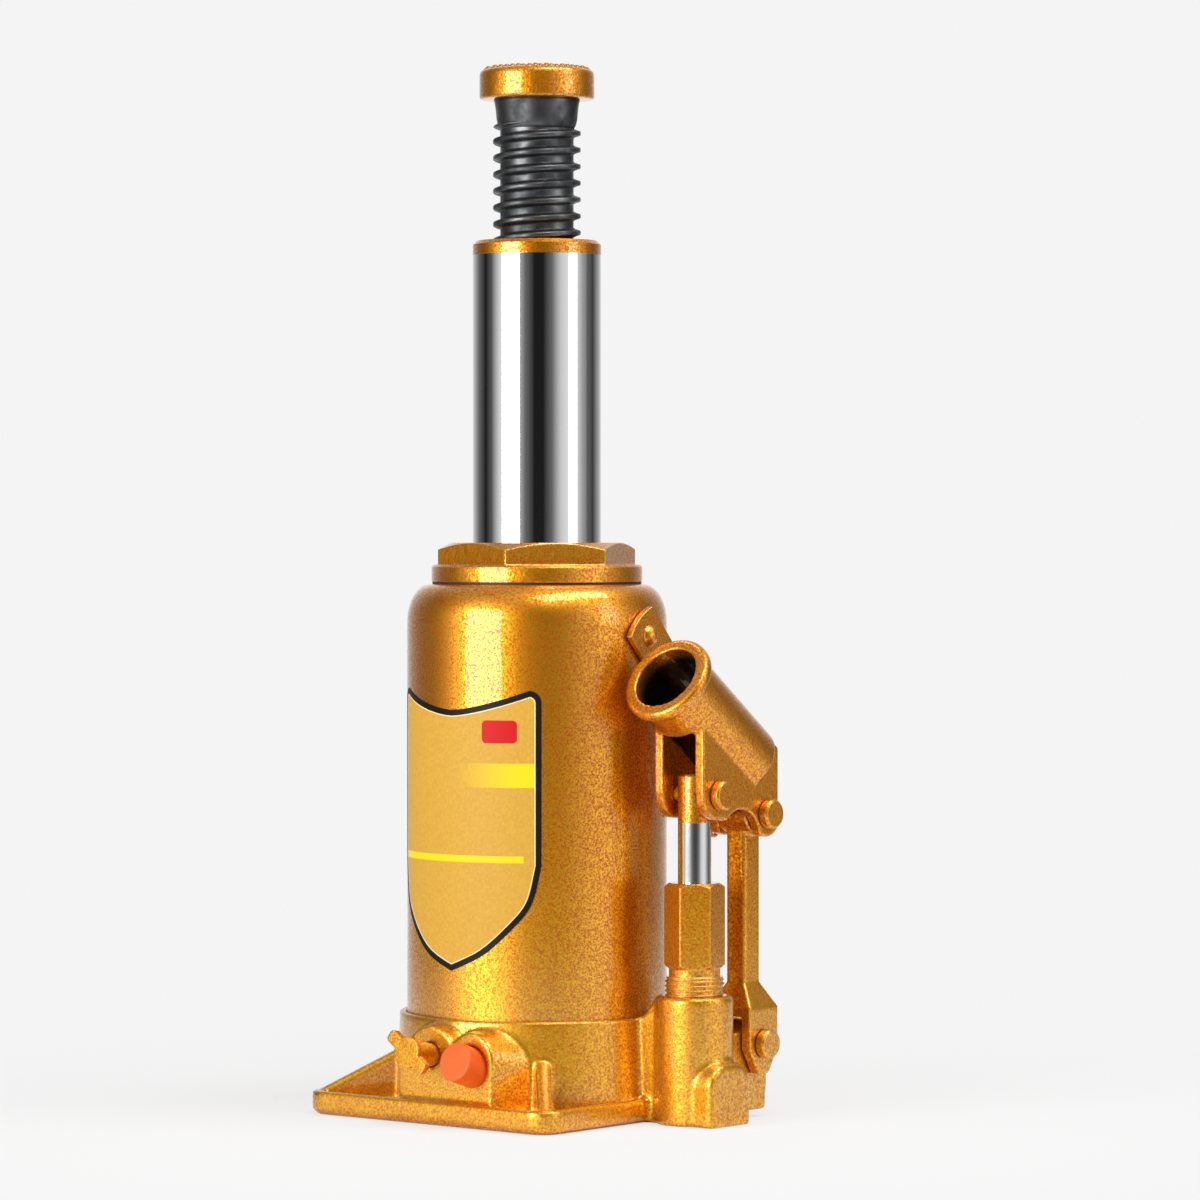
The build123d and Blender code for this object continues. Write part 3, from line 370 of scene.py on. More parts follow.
def chromed(name, paint_foot):
    """Ground hard chrome, with flake enamel above a height."""
    material, tree, shader, where = new_material(name)
    height = add_node(tree, "ShaderNodeSeparateXYZ", {"Vector": where}).outputs["Z"]
    painted_part = calc(tree, "GREATER_THAN", height, paint_foot)
    flake = place_group(tree, flake_group, {"Vector": where, "Grain": 1500.0, "Contrast": 1.0})
    turned = place_group(tree, turned_group, {"Vector": where})
    chrome = blend_colour(tree, turned["Blotch"], (0.80, 0.80, 0.81, 1), (0.74, 0.74, 0.75, 1))
    tree.links.new(blend_colour(tree, painted_part, chrome, flake["Color"]), shader.inputs["Base Color"])
    smooth = ramp(tree, turned["Blotch"], 0.3, 0.7, 0.035, 0.05)
    rough = calc(tree, "ADD", calc(tree, "MULTIPLY", smooth, calc(tree, "SUBTRACT", 1.0, painted_part)),
                 calc(tree, "MULTIPLY", flake["Roughness"], painted_part))
    tree.links.new(rough, shader.inputs["Roughness"])
    tree.links.new(painted_part, shader.inputs["Coat Weight"])
    relief = calc(tree, "MULTIPLY", flake["Height"], painted_part)
    bump = add_node(tree, "ShaderNodeBump", {"Strength": 0.25, "Distance": 0.00006, "Height": relief})
    tree.links.new(bump.outputs["Normal"], shader.inputs["Normal"])
    set_values(shader, Metallic=1.0, Coat_Roughness=0.07, Coat_IOR=1.55)
    return material


def steel(name, light, dark, smooth=0.28, rough=0.5, relief=0.3, rings=1800.0, edge_highlight_colour=None):
    """Turned or forged steel with fine rings, blotches, and edges painted brighter as a painted highlight
    when an edge colour is given.
    """
    material, tree, shader, where = new_material(name)
    turned = place_group(tree, turned_group, {"Vector": where, "Rings": rings, "Blotch": 140.0})
    rim = place_group(tree, edge_group, {"Vector": where, "Radius": 0.0005})
    colour = blend_colour(tree, ramp(tree, turned["Blotch"], 0.3, 0.7), dark, light)
    # Sharp edges painted lighter: a painted highlight
    if edge_highlight_colour:
        colour = blend_colour(tree, calc(tree, "MULTIPLY", rim["Mask"], 0.7), colour, edge_highlight_colour)
    tree.links.new(colour, shader.inputs["Base Color"])
    tree.links.new(ramp(tree, turned["Blotch"], 0.3, 0.7, rough, smooth), shader.inputs["Roughness"])
    bump = add_node(tree, "ShaderNodeBump", {
        "Strength": relief, "Distance": 0.00008, "Height": turned["Rings"], "Normal": rim["Normal"],
    })
    tree.links.new(bump.outputs["Normal"], shader.inputs["Normal"])
    set_values(shader, Metallic=1.0)
    return material


def moulded(name, colour, deep, rough, relief=0.4, shine=0.5):
    """Plastic or rubber with a fine moulded grain and faint tone drifts."""
    material, tree, shader, where = new_material(name)
    skin = noise(tree, where, 1800.0, 3.0)
    drift = noise(tree, where, 90.0)
    tone = calc(tree, "MULTIPLY", calc(tree, "ADD", skin, drift), 0.5)
    mixed = blend_colour(tree, ramp(tree, tone, 0.35, 0.65), deep, colour)
    tree.links.new(mixed, shader.inputs["Base Color"])
    tree.links.new(ramp(tree, skin, 0.3, 0.7, rough, rough + 0.12), shader.inputs["Roughness"])
    bump = add_node(tree, "ShaderNodeBump", {"Strength": relief, "Distance": 0.00008, "Height": skin})
    tree.links.new(bump.outputs["Normal"], shader.inputs["Normal"])
    set_values(shader, Specular_IOR_Level=shine)
    return material


cast_paint = painted("cast_enamel", 1300.0, 0.62, 0.5, lumps=1.6)
socket_paint_shaded_bore = painted("socket_enamel_shaded_bore", 1300.0, 0.62, 0.5, lumps=1.6, shaded_bore=True)
sheet_paint = painted("sheet_enamel", 1500.0, 0.8, 0.24)
chrome_ram = chromed("ram_chrome", RAM_PAINT_FOOT)
chrome_plunger = chromed("plunger_chrome", PLUNGER_PAINT_FOOT)
thread_steel = steel(
    "thread_steel", (0.150, 0.152, 0.155, 1), (0.050, 0.052, 0.055, 1), 0.34, 0.55, 0.5, 900.0,
    # Edge colour: a painted highlight on the thread's sharp edges
    (0.34, 0.35, 0.36, 1),
)
machined_steel = steel("machined_steel", (0.52, 0.52, 0.53, 1), (0.36, 0.36, 0.37, 1), 0.24, 0.4)
copper = steel("gasket_copper", (0.80, 0.42, 0.26, 1), (0.50, 0.22, 0.13, 1), 0.3, 0.5)
rubber = moulded("seal_rubber", (0.030, 0.030, 0.031, 1), (0.018, 0.018, 0.018, 1), 0.5)
orange = moulded("valve_cap_plastic", (0.90, 0.125, 0.010, 1), (0.82, 0.10, 0.008, 1), 0.36, 0.25)
label_black = moulded("label_black", (0.009, 0.008, 0.007, 1), (0.006, 0.005, 0.005, 1), 0.4, 0.1, shine=0.15)
label_line = moulded("label_line", (0.85, 0.72, 0.40, 1), (0.80, 0.66, 0.34, 1), 0.4, 0.1)


def add_piece(name, mesh, material, body, replaced=()):
    """Finished piece: linked, dressed, fixed to its body, and the nodes it replaces hidden."""
    piece = bpy.data.objects.new(name, mesh)
    bpy.context.scene.collection.objects.link(piece)
    if material:
        mesh.materials.clear()
        mesh.materials.append(material)
    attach(piece, body)
    if replaced:
        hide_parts(*replaced)
    return piece


def plain_mesh(holder):
    """Evaluated copy of an object's mesh; the object itself goes."""
    graph = bpy.context.evaluated_depsgraph_get()
    mesh = bpy.data.meshes.new_from_object(holder.evaluated_get(graph))
    bpy.data.objects.remove(holder)
    return mesh


def soft_copy(node, voxel, rounds, painted_over=()):
    """Mesh of a node with its corners and edges softened, with flush plugs that the paint covers."""
    mesh = frame["nodes"][node].data.copy()
    shell = bmesh.new()
    shell.from_mesh(mesh)
    for plug in painted_over:
        shell.from_mesh(frame["nodes"][plug].data)
    bmesh.ops.remove_doubles(shell, verts=shell.verts, dist=1e-6)
    bmesh.ops.recalc_face_normals(shell, faces=shell.faces)
    shell.to_mesh(mesh)
    shell.free()
    holder = bpy.data.objects.new(node + "_soft", mesh)
    bpy.context.scene.collection.objects.link(holder)
    skin = holder.modifiers.new("skin", "REMESH")
    skin.mode = "VOXEL"
    skin.voxel_size = voxel
    skin.use_smooth_shade = True
    soften = holder.modifiers.new("soften", "SMOOTH")
    soften.factor = 0.5
    soften.iterations = rounds
    return plain_mesh(holder)


def lathe(profile, segments=128):
    """Closed mesh of a (radius, height) outline turned about an upright axis; ends of radius 0 are poles."""
    shape = bmesh.new()
    rings = []
    for radius, height in profile:
        if radius == 0:
            rings.append([shape.verts.new((0, 0, height))])
            continue
        ring = []
        for i in range(segments):
            a = 2 * math.pi * i / segments
            ring.append(shape.verts.new((radius * math.cos(a), radius * math.sin(a), height)))
        rings.append(ring)
    for low, high in zip(rings, rings[1:]):
        for i in range(segments):
            j = (i + 1) % segments
            if len(low) == 1:
                shape.faces.new((low[0], high[j], high[i]))
            elif len(high) == 1:
                shape.faces.new((low[i], low[j], high[0]))
            else:
                shape.faces.new((low[i], low[j], high[j], high[i]))
    bmesh.ops.recalc_face_normals(shape, faces=shape.faces)
    mesh = bpy.data.meshes.new("turned")
    shape.to_mesh(mesh)
    shape.free()
    for face in mesh.polygons:
        face.use_smooth = True
    return mesh


def rounded_profile(corners, steps=5):
    """Outline whose inner corners are rounded; each corner is (radius, height, rounding)."""
    points = [corners[0][:2]]
    for before, here, after in zip(corners, corners[1:], corners[2:]):
        middle = Vector(here[:2])
        inward = Vector(before[:2]) - middle
        outward = Vector(after[:2]) - middle
        cut = here[2]
        if not cut:
            points.append(here[:2])
            continue
        first = middle + inward.normalized() * min(cut, inward.length * 0.49)
        last = middle + outward.normalized() * min(cut, outward.length * 0.49)
        for i in range(steps + 1):
            t = i / steps
            points.append(tuple(first * (1 - t) ** 2 + middle * 2 * t * (1 - t) + last * t ** 2))
    points.append(corners[-1][:2])
    return points


def geometry_tree(name, inputs):
    """Empty geometry tree with named inputs; returns the tree, its start node and its end node."""
    tree = bpy.data.node_groups.new(name, "GeometryNodeTree")
    tree.interface.new_socket("Geometry", in_out="OUTPUT", socket_type="NodeSocketGeometry")
    for label, kind in inputs:
        tree.interface.new_socket(label, in_out="INPUT", socket_type=kind)
    return tree, tree.nodes.new("NodeGroupInput"), tree.nodes.new("NodeGroupOutput")


def close_tree(tree, start, end, geometry):
    """Last steps of every geometry tree: realize, set the material, put out."""
    real = tree.nodes.new("GeometryNodeRealizeInstances")
    tree.links.new(geometry, real.inputs[0])
    dress = tree.nodes.new("GeometryNodeSetMaterial")
    tree.links.new(real.outputs[0], dress.inputs["Geometry"])
    tree.links.new(start.outputs["Material"], dress.inputs["Material"])
    tree.links.new(dress.outputs[0], end.inputs[0])


def grow(tree, values):
    """Plain mesh made by a geometry tree with these values for its named inputs."""
    holder = bpy.data.objects.new("holder", bpy.data.meshes.new("holder"))
    bpy.context.scene.collection.objects.link(holder)
    modifier = holder.modifiers.new("grow", "NODES")
    modifier.node_group = tree
    for socket in tree.interface.items_tree:
        if socket.in_out == "INPUT":
            modifier[socket.identifier] = values[socket.name]
    return plain_mesh(holder)


def build_thread_tree():
    """Upright threaded rod: one closed skin whose radius follows a right-handed helix."""
    sizes = [
        "Foot", "Length", "Crest", "Root", "Pitch", "Crest Share", "Root Share", "Runout",
        "Centre X", "Centre Y",
    ]
    tree, start, end = geometry_tree("threaded_rod", [(s, "NodeSocketFloat") for s in sizes] + [
        ("Around", "NodeSocketInt"), ("Rows", "NodeSocketInt"), ("Material", "NodeSocketMaterial"),
    ])
    size = start.outputs
    rod = add_node(tree, "GeometryNodeMeshCylinder", {
        "Vertices": size["Around"], "Side Segments": size["Rows"], "Radius": 1.0, "Depth": 1.0,
    })
    place = tree.nodes.new("GeometryNodeInputPosition").outputs[0]
    x, y, z = add_node(tree, "ShaderNodeSeparateXYZ", {"Vector": place}).outputs
    along = calc(tree, "ADD", z, 0.5)
    height = calc(tree, "MULTIPLY", along, size["Length"])
    turn = calc(tree, "DIVIDE", calc(tree, "ARCTAN2", y, x), 2 * math.pi)
    phase = calc(tree, "FRACT", calc(tree, "SUBTRACT", calc(tree, "DIVIDE", height, size["Pitch"]), turn))
    off_crest = calc(tree, "ABSOLUTE", calc(tree, "SUBTRACT", phase, 0.5))
    ridge = ramp(tree, off_crest, size["Root Share"], size["Crest Share"])
    to_end = calc(tree, "MINIMUM", height, calc(tree, "SUBTRACT", size["Length"], height))
    ridge = calc(tree, "MULTIPLY", ridge, ramp(tree, to_end, 0.0, size["Runout"]))
    depth = calc(tree, "SUBTRACT", size["Crest"], size["Root"])
    radius = calc(tree, "ADD", size["Root"], calc(tree, "MULTIPLY", ridge, depth))
    spot = add_node(tree, "ShaderNodeCombineXYZ", {
        "X": calc(tree, "ADD", calc(tree, "MULTIPLY", x, radius), size["Centre X"]),
        "Y": calc(tree, "ADD", calc(tree, "MULTIPLY", y, radius), size["Centre Y"]),
        "Z": calc(tree, "ADD", height, size["Foot"]),
    })
    moved = add_node(tree, "GeometryNodeSetPosition", {
        "Geometry": rod.outputs["Mesh"], "Position": spot.outputs[0],
    })
    smooth = add_node(tree, "GeometryNodeSetShadeSmooth", {"Geometry": moved.outputs[0]})
    close_tree(tree, start, end, smooth.outputs[0])
    return tree


thread_tree = build_thread_tree()


def make_screw():
    """Coarse thread under a plain neck, and the painted saddle on top."""
    top = SADDLE_FOOT - NECK_LENGTH
    thread = grow(thread_tree, {
        "Foot": SCREW_LOW.z, "Length": top - SCREW_LOW.z + 0.002, "Crest": SCREW_CREST, "Root": SCREW_ROOT,
        "Pitch": SCREW_PITCH, "Crest Share": 0.10, "Root Share": 0.30, "Runout": 0.0022,
        "Centre X": 0.0, "Centre Y": 0.0, "Around": 96, "Rows": 260, "Material": thread_steel,
    })
    add_piece("screw_thread", thread, None, "screw", ["extension_screw"])
    neck = lathe(rounded_profile([
        (0, top - 0.003, 0), (0.0118, top - 0.003, 0), (0.0140, top - 0.0002, 0.001),
        (NECK_RADIUS - 0.0004, top + 0.0022, 0.001), (NECK_RADIUS, SADDLE_FOOT - 0.003, 0.002),
        (NECK_RADIUS + 0.0007, SADDLE_FOOT + 0.0005, 0), (0, SADDLE_FOOT + 0.0005, 0),
    ]))
    add_piece("screw_neck", neck, thread_steel, "screw", ["extension_screw"])
    low, high = SADDLE_FOOT, SCREW_HIGH.z - 0.0012
    saddle = lathe(rounded_profile([
        (0, low, 0), (SADDLE_RADIUS, low, 0.0012), (SADDLE_RADIUS, high, 0.0022), (0, high, 0),
    ]))
    add_piece("saddle", saddle, cast_paint, "screw", ["extension_screw"])


def build_teeth_tree():
    """Small square pyramids on a grid, kept inside a circle."""
    sizes = ["Radius", "Spacing", "Tooth", "Rise", "Top"]
    tree, start, end = geometry_tree("gripping_teeth", [(s, "NodeSocketFloat") for s in sizes] + [
        ("Count", "NodeSocketInt"), ("Material", "NodeSocketMaterial"),
    ])
    size = start.outputs
    span = calc(tree, "MULTIPLY", size["Spacing"], calc(tree, "SUBTRACT", size["Count"], 1.0))
    grid = add_node(tree, "GeometryNodeMeshGrid", {
        "Size X": span, "Size Y": span, "Vertices X": size["Count"], "Vertices Y": size["Count"],
    })
    place = tree.nodes.new("GeometryNodeInputPosition").outputs[0]
    reach = vector_calc(tree, "LENGTH", place, out="Value")
    points = add_node(tree, "GeometryNodeMeshToPoints", {
        "Mesh": grid.outputs["Mesh"], "Selection": calc(tree, "LESS_THAN", reach, size["Radius"]),
    })
    tooth = add_node(tree, "GeometryNodeMeshCone", {
        "Vertices": 4, "Radius Top": calc(tree, "MULTIPLY", size["Tooth"], 0.3),
        "Radius Bottom": size["Tooth"], "Depth": size["Rise"],
    })
    many = add_node(tree, "GeometryNodeInstanceOnPoints", {
        "Points": points.outputs[0], "Instance": tooth.outputs["Mesh"], "Rotation": (0, 0, math.pi / 4),
    })
    lift = add_node(tree, "ShaderNodeCombineXYZ", {"Z": size["Top"]})
    raised = add_node(tree, "GeometryNodeTransform", {
        "Geometry": many.outputs[0], "Translation": lift.outputs[0],
    })
    close_tree(tree, start, end, raised.outputs[0])
    return tree


def make_teeth():
    """Gripping pattern on the saddle's top."""
    rise = 0.0012
    spacing = 0.0028
    teeth = grow(build_teeth_tree(), {
        "Radius": SADDLE_RADIUS - 0.0026, "Spacing": spacing, "Tooth": spacing * 0.66, "Rise": rise,
        "Top": SCREW_HIGH.z - rise, "Count": 15, "Material": cast_paint,
    })
    add_piece("saddle_teeth", teeth, None, "screw")


def make_castings():
    """The rough pieces, with the soft corners of a casting."""
    for node, voxel, rounds, plugs, paint in (
        ("base_casting", 0.0008, 5, ["outlet_plug"], cast_paint),
        ("handle_socket", 0.0005, 4, [], socket_paint_shaded_bore),
        ("link", 0.0005, 4, [], cast_paint),
    ):
        add_piece(node + "_cast", soft_copy(node, voxel, rounds, plugs), paint,
                  frame["nodes"][node]["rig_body"], [node, *plugs])


def make_pump_thread():
    """Fine thread that shows between the pump's hexagon and its boss."""
    base_top = PUMP_LOW.z + PUMP_BOSS_RISE
    foot = base_top - PUMP_THREAD_DEPTH
    high = base_top + PUMP_THREAD_HEIGHT
    thread = grow(thread_tree, {
        "Foot": foot, "Length": high - foot, "Crest": 0.0107, "Root": 0.0098,
        "Pitch": 0.0017, "Crest Share": 0.08, "Root Share": 0.34, "Runout": 0.0012,
        "Centre X": PUMP_X, "Centre Y": PUMP_Y, "Around": 96, "Rows": 80, "Material": cast_paint,
    })
    add_piece("pump_thread", thread, None, "jack_base")


dress = {
    "reservoir_tank": sheet_paint, "cap_nut": cast_paint, "pump_cylinder": cast_paint,
    "carry_handle": sheet_paint, "carry_rivets": sheet_paint,
    "plunger_pin": cast_paint, "fulcrum_pin": cast_paint, "foot_pin": cast_paint,
    "plunger_pin_cotter": cast_paint, "fulcrum_pin_cotter": cast_paint, "foot_pin_cotter": cast_paint,
    "ram": chrome_ram, "pump_plunger": chrome_plunger, "release_valve": cast_paint, "overload_cap": orange,
    "screw_stop_ring": machined_steel, "pressure_cylinder": machined_steel, "piston_washer": machined_steel,
    "piston_nut": machined_steel, "release_ball": machined_steel, "overload_screw": machined_steel,
    "overload_spring": machined_steel, "overload_ball": machined_steel, "inlet_ball": machined_steel,
    "outlet_ball": machined_steel, "outlet_spring": machined_steel,
    "cylinder_gasket": copper, "pump_gasket": copper, "tank_gasket": rubber, "cap_gasket": rubber,
    "ram_wiper": rubber, "piston_cup": rubber, "pump_wiper": rubber, "plunger_seal": rubber,
    "release_seal": rubber, "filler_plug": rubber,
}


def label_field_paint():
    """Matte gold film with a band, a stripe and a bare block, set by place round the tank and height."""
    material, tree, shader, where = new_material("label_field")
    x, y, z = add_node(tree, "ShaderNodeSeparateXYZ", {"Vector": where}).outputs
    around = calc(tree, "MULTIPLY", calc(tree, "ARCTAN2", x, calc(tree, "MULTIPLY", y, -1.0)), TANK_RADIUS)
    skin = noise(tree, where, 900.0)
    colour = blend_colour(tree, ramp(tree, skin, 0.3, 0.7), (0.57, 0.31, 0.039, 1), LABEL_GOLD)

    def within(value, middle, half):
        gap = calc(tree, "ABSOLUTE", calc(tree, "SUBTRACT", value, middle))
        return calc(tree, "LESS_THAN", gap, half)

    band = calc(tree, "MULTIPLY", within(z, BAND_HEIGHT, BAND_HALF), ramp(tree, around, *BAND_FADE))
    stripe = calc(tree, "MULTIPLY", within(z, STRIPE_HEIGHT, STRIPE_HALF),
                  calc(tree, "LESS_THAN", around, STRIPE_END))
    colour = blend_colour(tree, calc(tree, "MAXIMUM", band, stripe), colour, LABEL_YELLOW)
    side = calc(tree, "ABSOLUTE", calc(tree, "SUBTRACT", around, BLOCK_AROUND))
    rise = calc(tree, "ABSOLUTE", calc(tree, "SUBTRACT", z, BLOCK_HEIGHT))
    over_x = calc(tree, "MAXIMUM", calc(tree, "SUBTRACT", side, BLOCK_HALF_WIDTH), 0.0)
    over_z = calc(tree, "MAXIMUM", calc(tree, "SUBTRACT", rise, BLOCK_HALF_HEIGHT), 0.0)
    corner = calc(tree, "SQRT", calc(tree, "ADD", calc(tree, "MULTIPLY", over_x, over_x),
                                     calc(tree, "MULTIPLY", over_z, over_z)))
    block = calc(tree, "LESS_THAN", corner, BLOCK_ROUNDING)
    tree.links.new(blend_colour(tree, block, colour, LABEL_RED), shader.inputs["Base Color"])
    set_values(shader, Roughness=0.5, Specular_IOR_Level=0.2)
    return material


def smooth_line(points, steps=8):
    """Points on a curve that runs through all of the given ones."""
    ends = [points[0], *points, points[-1]]
    curve = []
    for a, b, c, d in zip(ends, ends[1:], ends[2:], ends[3:]):
        for i in range(steps):
            t = i / steps
            curve.append(tuple(0.5 * (
                2 * q + (r - p) * t + (2 * p - 5 * q + 4 * r - s) * t ** 2 + (3 * q - p - 3 * r + s) * t ** 3
            ) for p, q, r, s in zip(a, b, c, d)))
    return curve + [points[-1]]


def label_outline():
    """Shield outline as (distance round the tank, height), anticlockwise from the tip."""
    right = smooth_line(LABEL_LOWER)
    flat = LABEL_SIDE - LABEL_CORNER
    for i in range(9):
        a = math.pi / 2 * i / 8
        right.append((flat + LABEL_CORNER * math.cos(a), LABEL_TOP - LABEL_CORNER * (1 - math.sin(a))))
    for i in range(1, 17):
        s = flat * (1 - i / 16)
        right.append((s, LABEL_DIP + (LABEL_TOP - LABEL_DIP) * (s / flat) ** 1.5))
    return right + [(-s, z) for s, z in right[-2:0:-1]]


def inset(outline, depth):
    """Outline moved inwards by a depth."""
    moved = []
    for before, here, after in zip([outline[-1], *outline], outline, [*outline[1:], outline[0]]):
        first = (Vector(here) - Vector(before)).normalized()
        last = (Vector(after) - Vector(here)).normalized()
        middle = (first + last).normalized()
        lean = max(0.5, middle.dot(first))
        moved.append((here[0] - middle.y * depth / lean, here[1] + middle.x * depth / lean))
    return moved


def wrapped(spot, lift):
    """Place on the tank's wall of a spot on the label, lifted off it."""
    a = spot[0] / TANK_RADIUS
    radius = TANK_RADIUS + lift
    return (radius * math.sin(a), -radius * math.cos(a), spot[1])


def film(loops, low, high, closed):
    """Thin closed skin over the strip between two lines on the label."""
    shape = bmesh.new()
    rings = [[shape.verts.new(wrapped(spot, lift)) for spot in loops[k]]
             for k, lift in ((0, low), (0, high), (1, high), (1, low))]
    count = len(rings[0])
    for i in range(count if closed else count - 1):
        j = (i + 1) % count
        for one, two in zip(rings, [*rings[1:], rings[0]]):
            shape.faces.new((one[i], one[j], two[j], two[i]))
    if not closed:
        for i in (0, count - 1):
            shape.faces.new([ring[i] for ring in rings])
    bmesh.ops.recalc_face_normals(shape, faces=shape.faces)
    mesh = bpy.data.meshes.new("film")
    shape.to_mesh(mesh)
    shape.free()
    return mesh


def make_label():
    """Blank shield label: matte field, black border and a thin pale line inside it."""
    outline = label_outline()
    right_half = inset(outline, FIELD_INSET)[:len(outline) // 2 + 1]
    under = [spot for spot in right_half if spot[1] < LABEL_WAIST]
    over = [spot for spot in right_half if spot[1] > LABEL_WAIST]
    reach = LABEL_SIDE - 0.0012
    count = 140

    def height_at(line, s):
        for (a, low), (b, high) in zip(line, line[1:]):
            if min(a, b) <= s <= max(a, b) and a != b:
                return low + (high - low) * (s - a) / (b - a)
        return line[-1][1]

    rows = [[], []]
    for i in range(count + 1):
        s = reach * (2 * i / count - 1)
        rows[0].append((s, height_at(under, abs(s))))
        rows[1].append((s, height_at(over, abs(s))))
    field = film(rows, FILM_FOOT, FIELD_LIFT, False)
    add_piece("label_field", field, label_field_paint(), "jack_base")
    border = film([inset(outline, BORDER_INSET), inset(outline, BORDER_END)], FILM_FOOT, BORDER_LIFT, True)
    add_piece("label_border", border, label_black, "jack_base")
    line = film([inset(outline, BORDER_END), inset(outline, LINE_END)], FILM_FOOT, LINE_LIFT, True)
    add_piece("label_line", line, label_line, "jack_base")


def dress_nodes():
    """Finish of every piece that keeps its own shape."""
    for node, material in dress.items():
        piece = frame["nodes"][node]
        for slot in piece.material_slots:
            slot.material = material


def make_camera():
    """Long lens at the photographer's place, level with the tank's shoulder."""
    data = bpy.data.cameras.new("camera")
    data.sensor_width = SENSOR
    data.lens = FOCAL_PIXELS / PICTURE_SIDE * SENSOR
    data.clip_end = 50
    camera = bpy.data.objects.new("camera", data)
    camera.location = Vector((LOOK_AT.x, LOOK_AT.y, VIEW_HEIGHT)) + TO_CAMERA * VIEW_DISTANCE
    camera.rotation_euler = (LOOK_AT - camera.location).to_track_quat("-Z", "Y").to_euler()
    bpy.context.scene.collection.objects.link(camera)
    bpy.context.scene.camera = camera


def make_floor():
    """Pale floor that takes the jack's shadow and runs out to the backdrop."""
    shape = bmesh.new()
    bmesh.ops.create_grid(shape, x_segments=8, y_segments=8, size=12)
    mesh = bpy.data.meshes.new("floor")
    shape.to_mesh(mesh)
    shape.free()
    mesh.transform(Matrix.Translation((0, 0, cad_box[0][2] - 0.0002)))
    floor = bpy.data.objects.new("floor", mesh)
    bpy.context.scene.collection.objects.link(floor)
    material, tree, shader, where = new_material("floor_paper")
    grain = noise(tree, where, 3.0)
    paper = blend_colour(tree, grain, (0.86, 0.86, 0.86, 1), (0.88, 0.88, 0.88, 1))
    tree.links.new(paper, shader.inputs["Base Color"])
    set_values(shader, Roughness=0.8, Specular_IOR_Level=0.0)
    glow = add_node(tree, "ShaderNodeEmission", {"Color": (BACKDROP, BACKDROP, BACKDROP, 1), "Strength": 1.0})
    seen = tree.nodes.new("ShaderNodeLightPath").outputs["Is Camera Ray"]
    reach = vector_calc(tree, "LENGTH", where, out="Value")
    share = calc(tree, "MULTIPLY", seen, ramp(tree, reach, *FLOOR_FADE, 0.72, 1.0))
    mixed = add_node(tree, "ShaderNodeMixShader", {0: share, 1: shader.outputs[0], 2: glow.outputs[0]})
    mirrored = tree.nodes.new("ShaderNodeLightPath").outputs["Is Glossy Ray"]
    clear = tree.nodes.new("ShaderNodeBsdfTransparent")
    mixed = add_node(tree, "ShaderNodeMixShader", {
        0: calc(tree, "MULTIPLY", mirrored, ramp(tree, reach, *MIRROR_FADE, 0.0, 0.9)),
        1: mixed.outputs[0], 2: clear.outputs[0],
    })
    tree.links.new(mixed.outputs[0], tree.nodes["Material Output"].inputs["Surface"])
    mesh.materials.append(material)


# Tone of the studio's walls by direction, in degrees to the right of the camera as the jack sees it
STUDIO_WALLS = [
    (-180, 1.0), (-166, 0.85), (-150, 0.55), (-125, 0.14), (-104, 0.01), (-88, 0.12), (-70, 0.8),
    (-56, 1.2), (-40, 0.8), (-20, 0.16), (-4, 0.015), (12, 0.015), (28, 0.17), (44, 0.72),
    (60, 0.95), (74, 0.9), (98, 0.2), (120, 0.05), (150, 0.5), (166, 0.85), (180, 1.0),
]


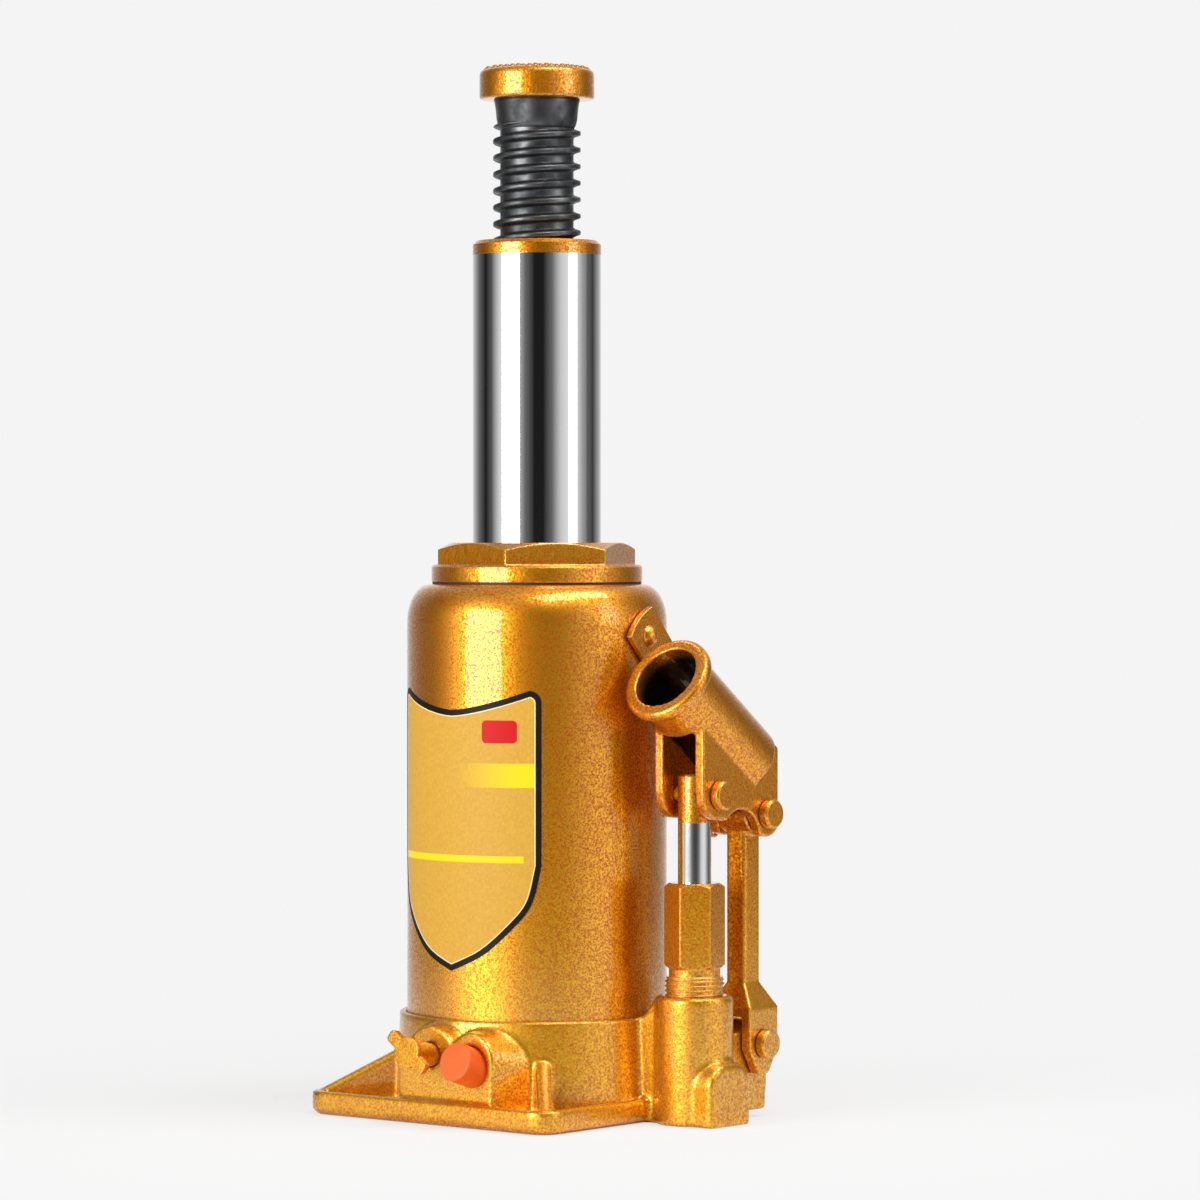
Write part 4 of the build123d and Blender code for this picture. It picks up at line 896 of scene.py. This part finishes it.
def make_world():
    """White studio with darker stretches of wall, which chrome and enamel mirror."""
    world = bpy.data.worlds.new("studio")
    bpy.context.scene.world = world
    world.use_nodes = True
    tree = world.node_tree
    tree.nodes.clear()
    out = tree.nodes.new("ShaderNodeOutputWorld")
    direction = tree.nodes.new("ShaderNodeTexCoord").outputs["Generated"]
    front = vector_calc(tree, "DOT_PRODUCT", direction, TO_CAMERA, out="Value")
    right = vector_calc(tree, "DOT_PRODUCT", direction, TO_RIGHT, out="Value")
    turn = calc(tree, "ARCTAN2", right, front)
    share = calc(tree, "ADD", calc(tree, "DIVIDE", turn, 2 * math.pi), 0.5)
    walls = tree.nodes.new("ShaderNodeValToRGB")
    walls.color_ramp.interpolation = "LINEAR"
    stops = walls.color_ramp.elements
    while len(stops) > 1:
        stops.remove(stops[-1])
    stops[0].position = 0.0
    for i, (angle, tone) in enumerate(STUDIO_WALLS):
        stop = stops[0] if i == 0 else stops.new(angle / 360 + 0.5)
        stop.color = (tone, tone, tone, 1)
    tree.links.new(share, walls.inputs["Fac"])
    up = add_node(tree, "ShaderNodeSeparateXYZ", {"Vector": direction}).outputs["Z"]
    ceiling = ramp(tree, up, 0.45, 0.85)
    room = blend_colour(tree, ceiling, walls.outputs["Color"], (0.5, 0.5, 0.5, 1))
    seen = tree.nodes.new("ShaderNodeLightPath").outputs["Is Camera Ray"]
    backdrop = (BACKDROP, BACKDROP, BACKDROP, 1)
    colour = blend_colour(tree, seen, room, backdrop)
    sky = add_node(tree, "ShaderNodeBackground", {"Color": colour, "Strength": 1.0})
    tree.links.new(sky.outputs[0], out.inputs["Surface"])


def add_softbox(name, turn, low, high, width, distance, radiance):
    """Upright soft light, seen from the jack at an angle to the right of the camera."""
    data = bpy.data.lights.new(name, "AREA")
    data.shape = "RECTANGLE"
    data.size = width
    data.size_y = high - low
    data.energy = radiance * math.pi * width * (high - low)
    lamp = bpy.data.objects.new(name, data)
    angle = VIEW_TURN + math.radians(turn)
    toward = Vector((math.sin(angle), -math.cos(angle), 0))
    lamp.location = toward * distance + Vector((0, 0, (low + high) / 2))
    lamp.rotation_euler = (-toward).to_track_quat("-Z", "Y").to_euler()
    bpy.context.scene.collection.objects.link(lamp)


def make_lights():
    """Large soft light on the left, a higher and weaker one on the right, and one overhead."""
    add_softbox("left_softbox", -47, 0.04, 0.75, 0.75, 1.25, 6.8)
    add_softbox("right_softbox", 68, 0.19, 0.95, 0.34, 1.1, 1.9)
    data = bpy.data.lights.new("top_softbox", "AREA")
    data.shape = "RECTANGLE"
    data.size = 1.3
    data.size_y = 0.5
    data.energy = 6.0 * math.pi * data.size * data.size_y
    lamp = bpy.data.objects.new("top_softbox", data)
    lamp.location = TO_CAMERA * 0.4 + TO_RIGHT * 0.5 + Vector((0, 0, 1.3))
    lamp.rotation_euler = (-lamp.location).to_track_quat("-Z", "Y").to_euler()
    bpy.context.scene.collection.objects.link(lamp)


make_camera()
make_screw()
make_teeth()
make_castings()
make_pump_thread()
make_label()
dress_nodes()
make_floor()
make_world()
make_lights()
bpy.context.scene.view_settings.view_transform = "Standard"
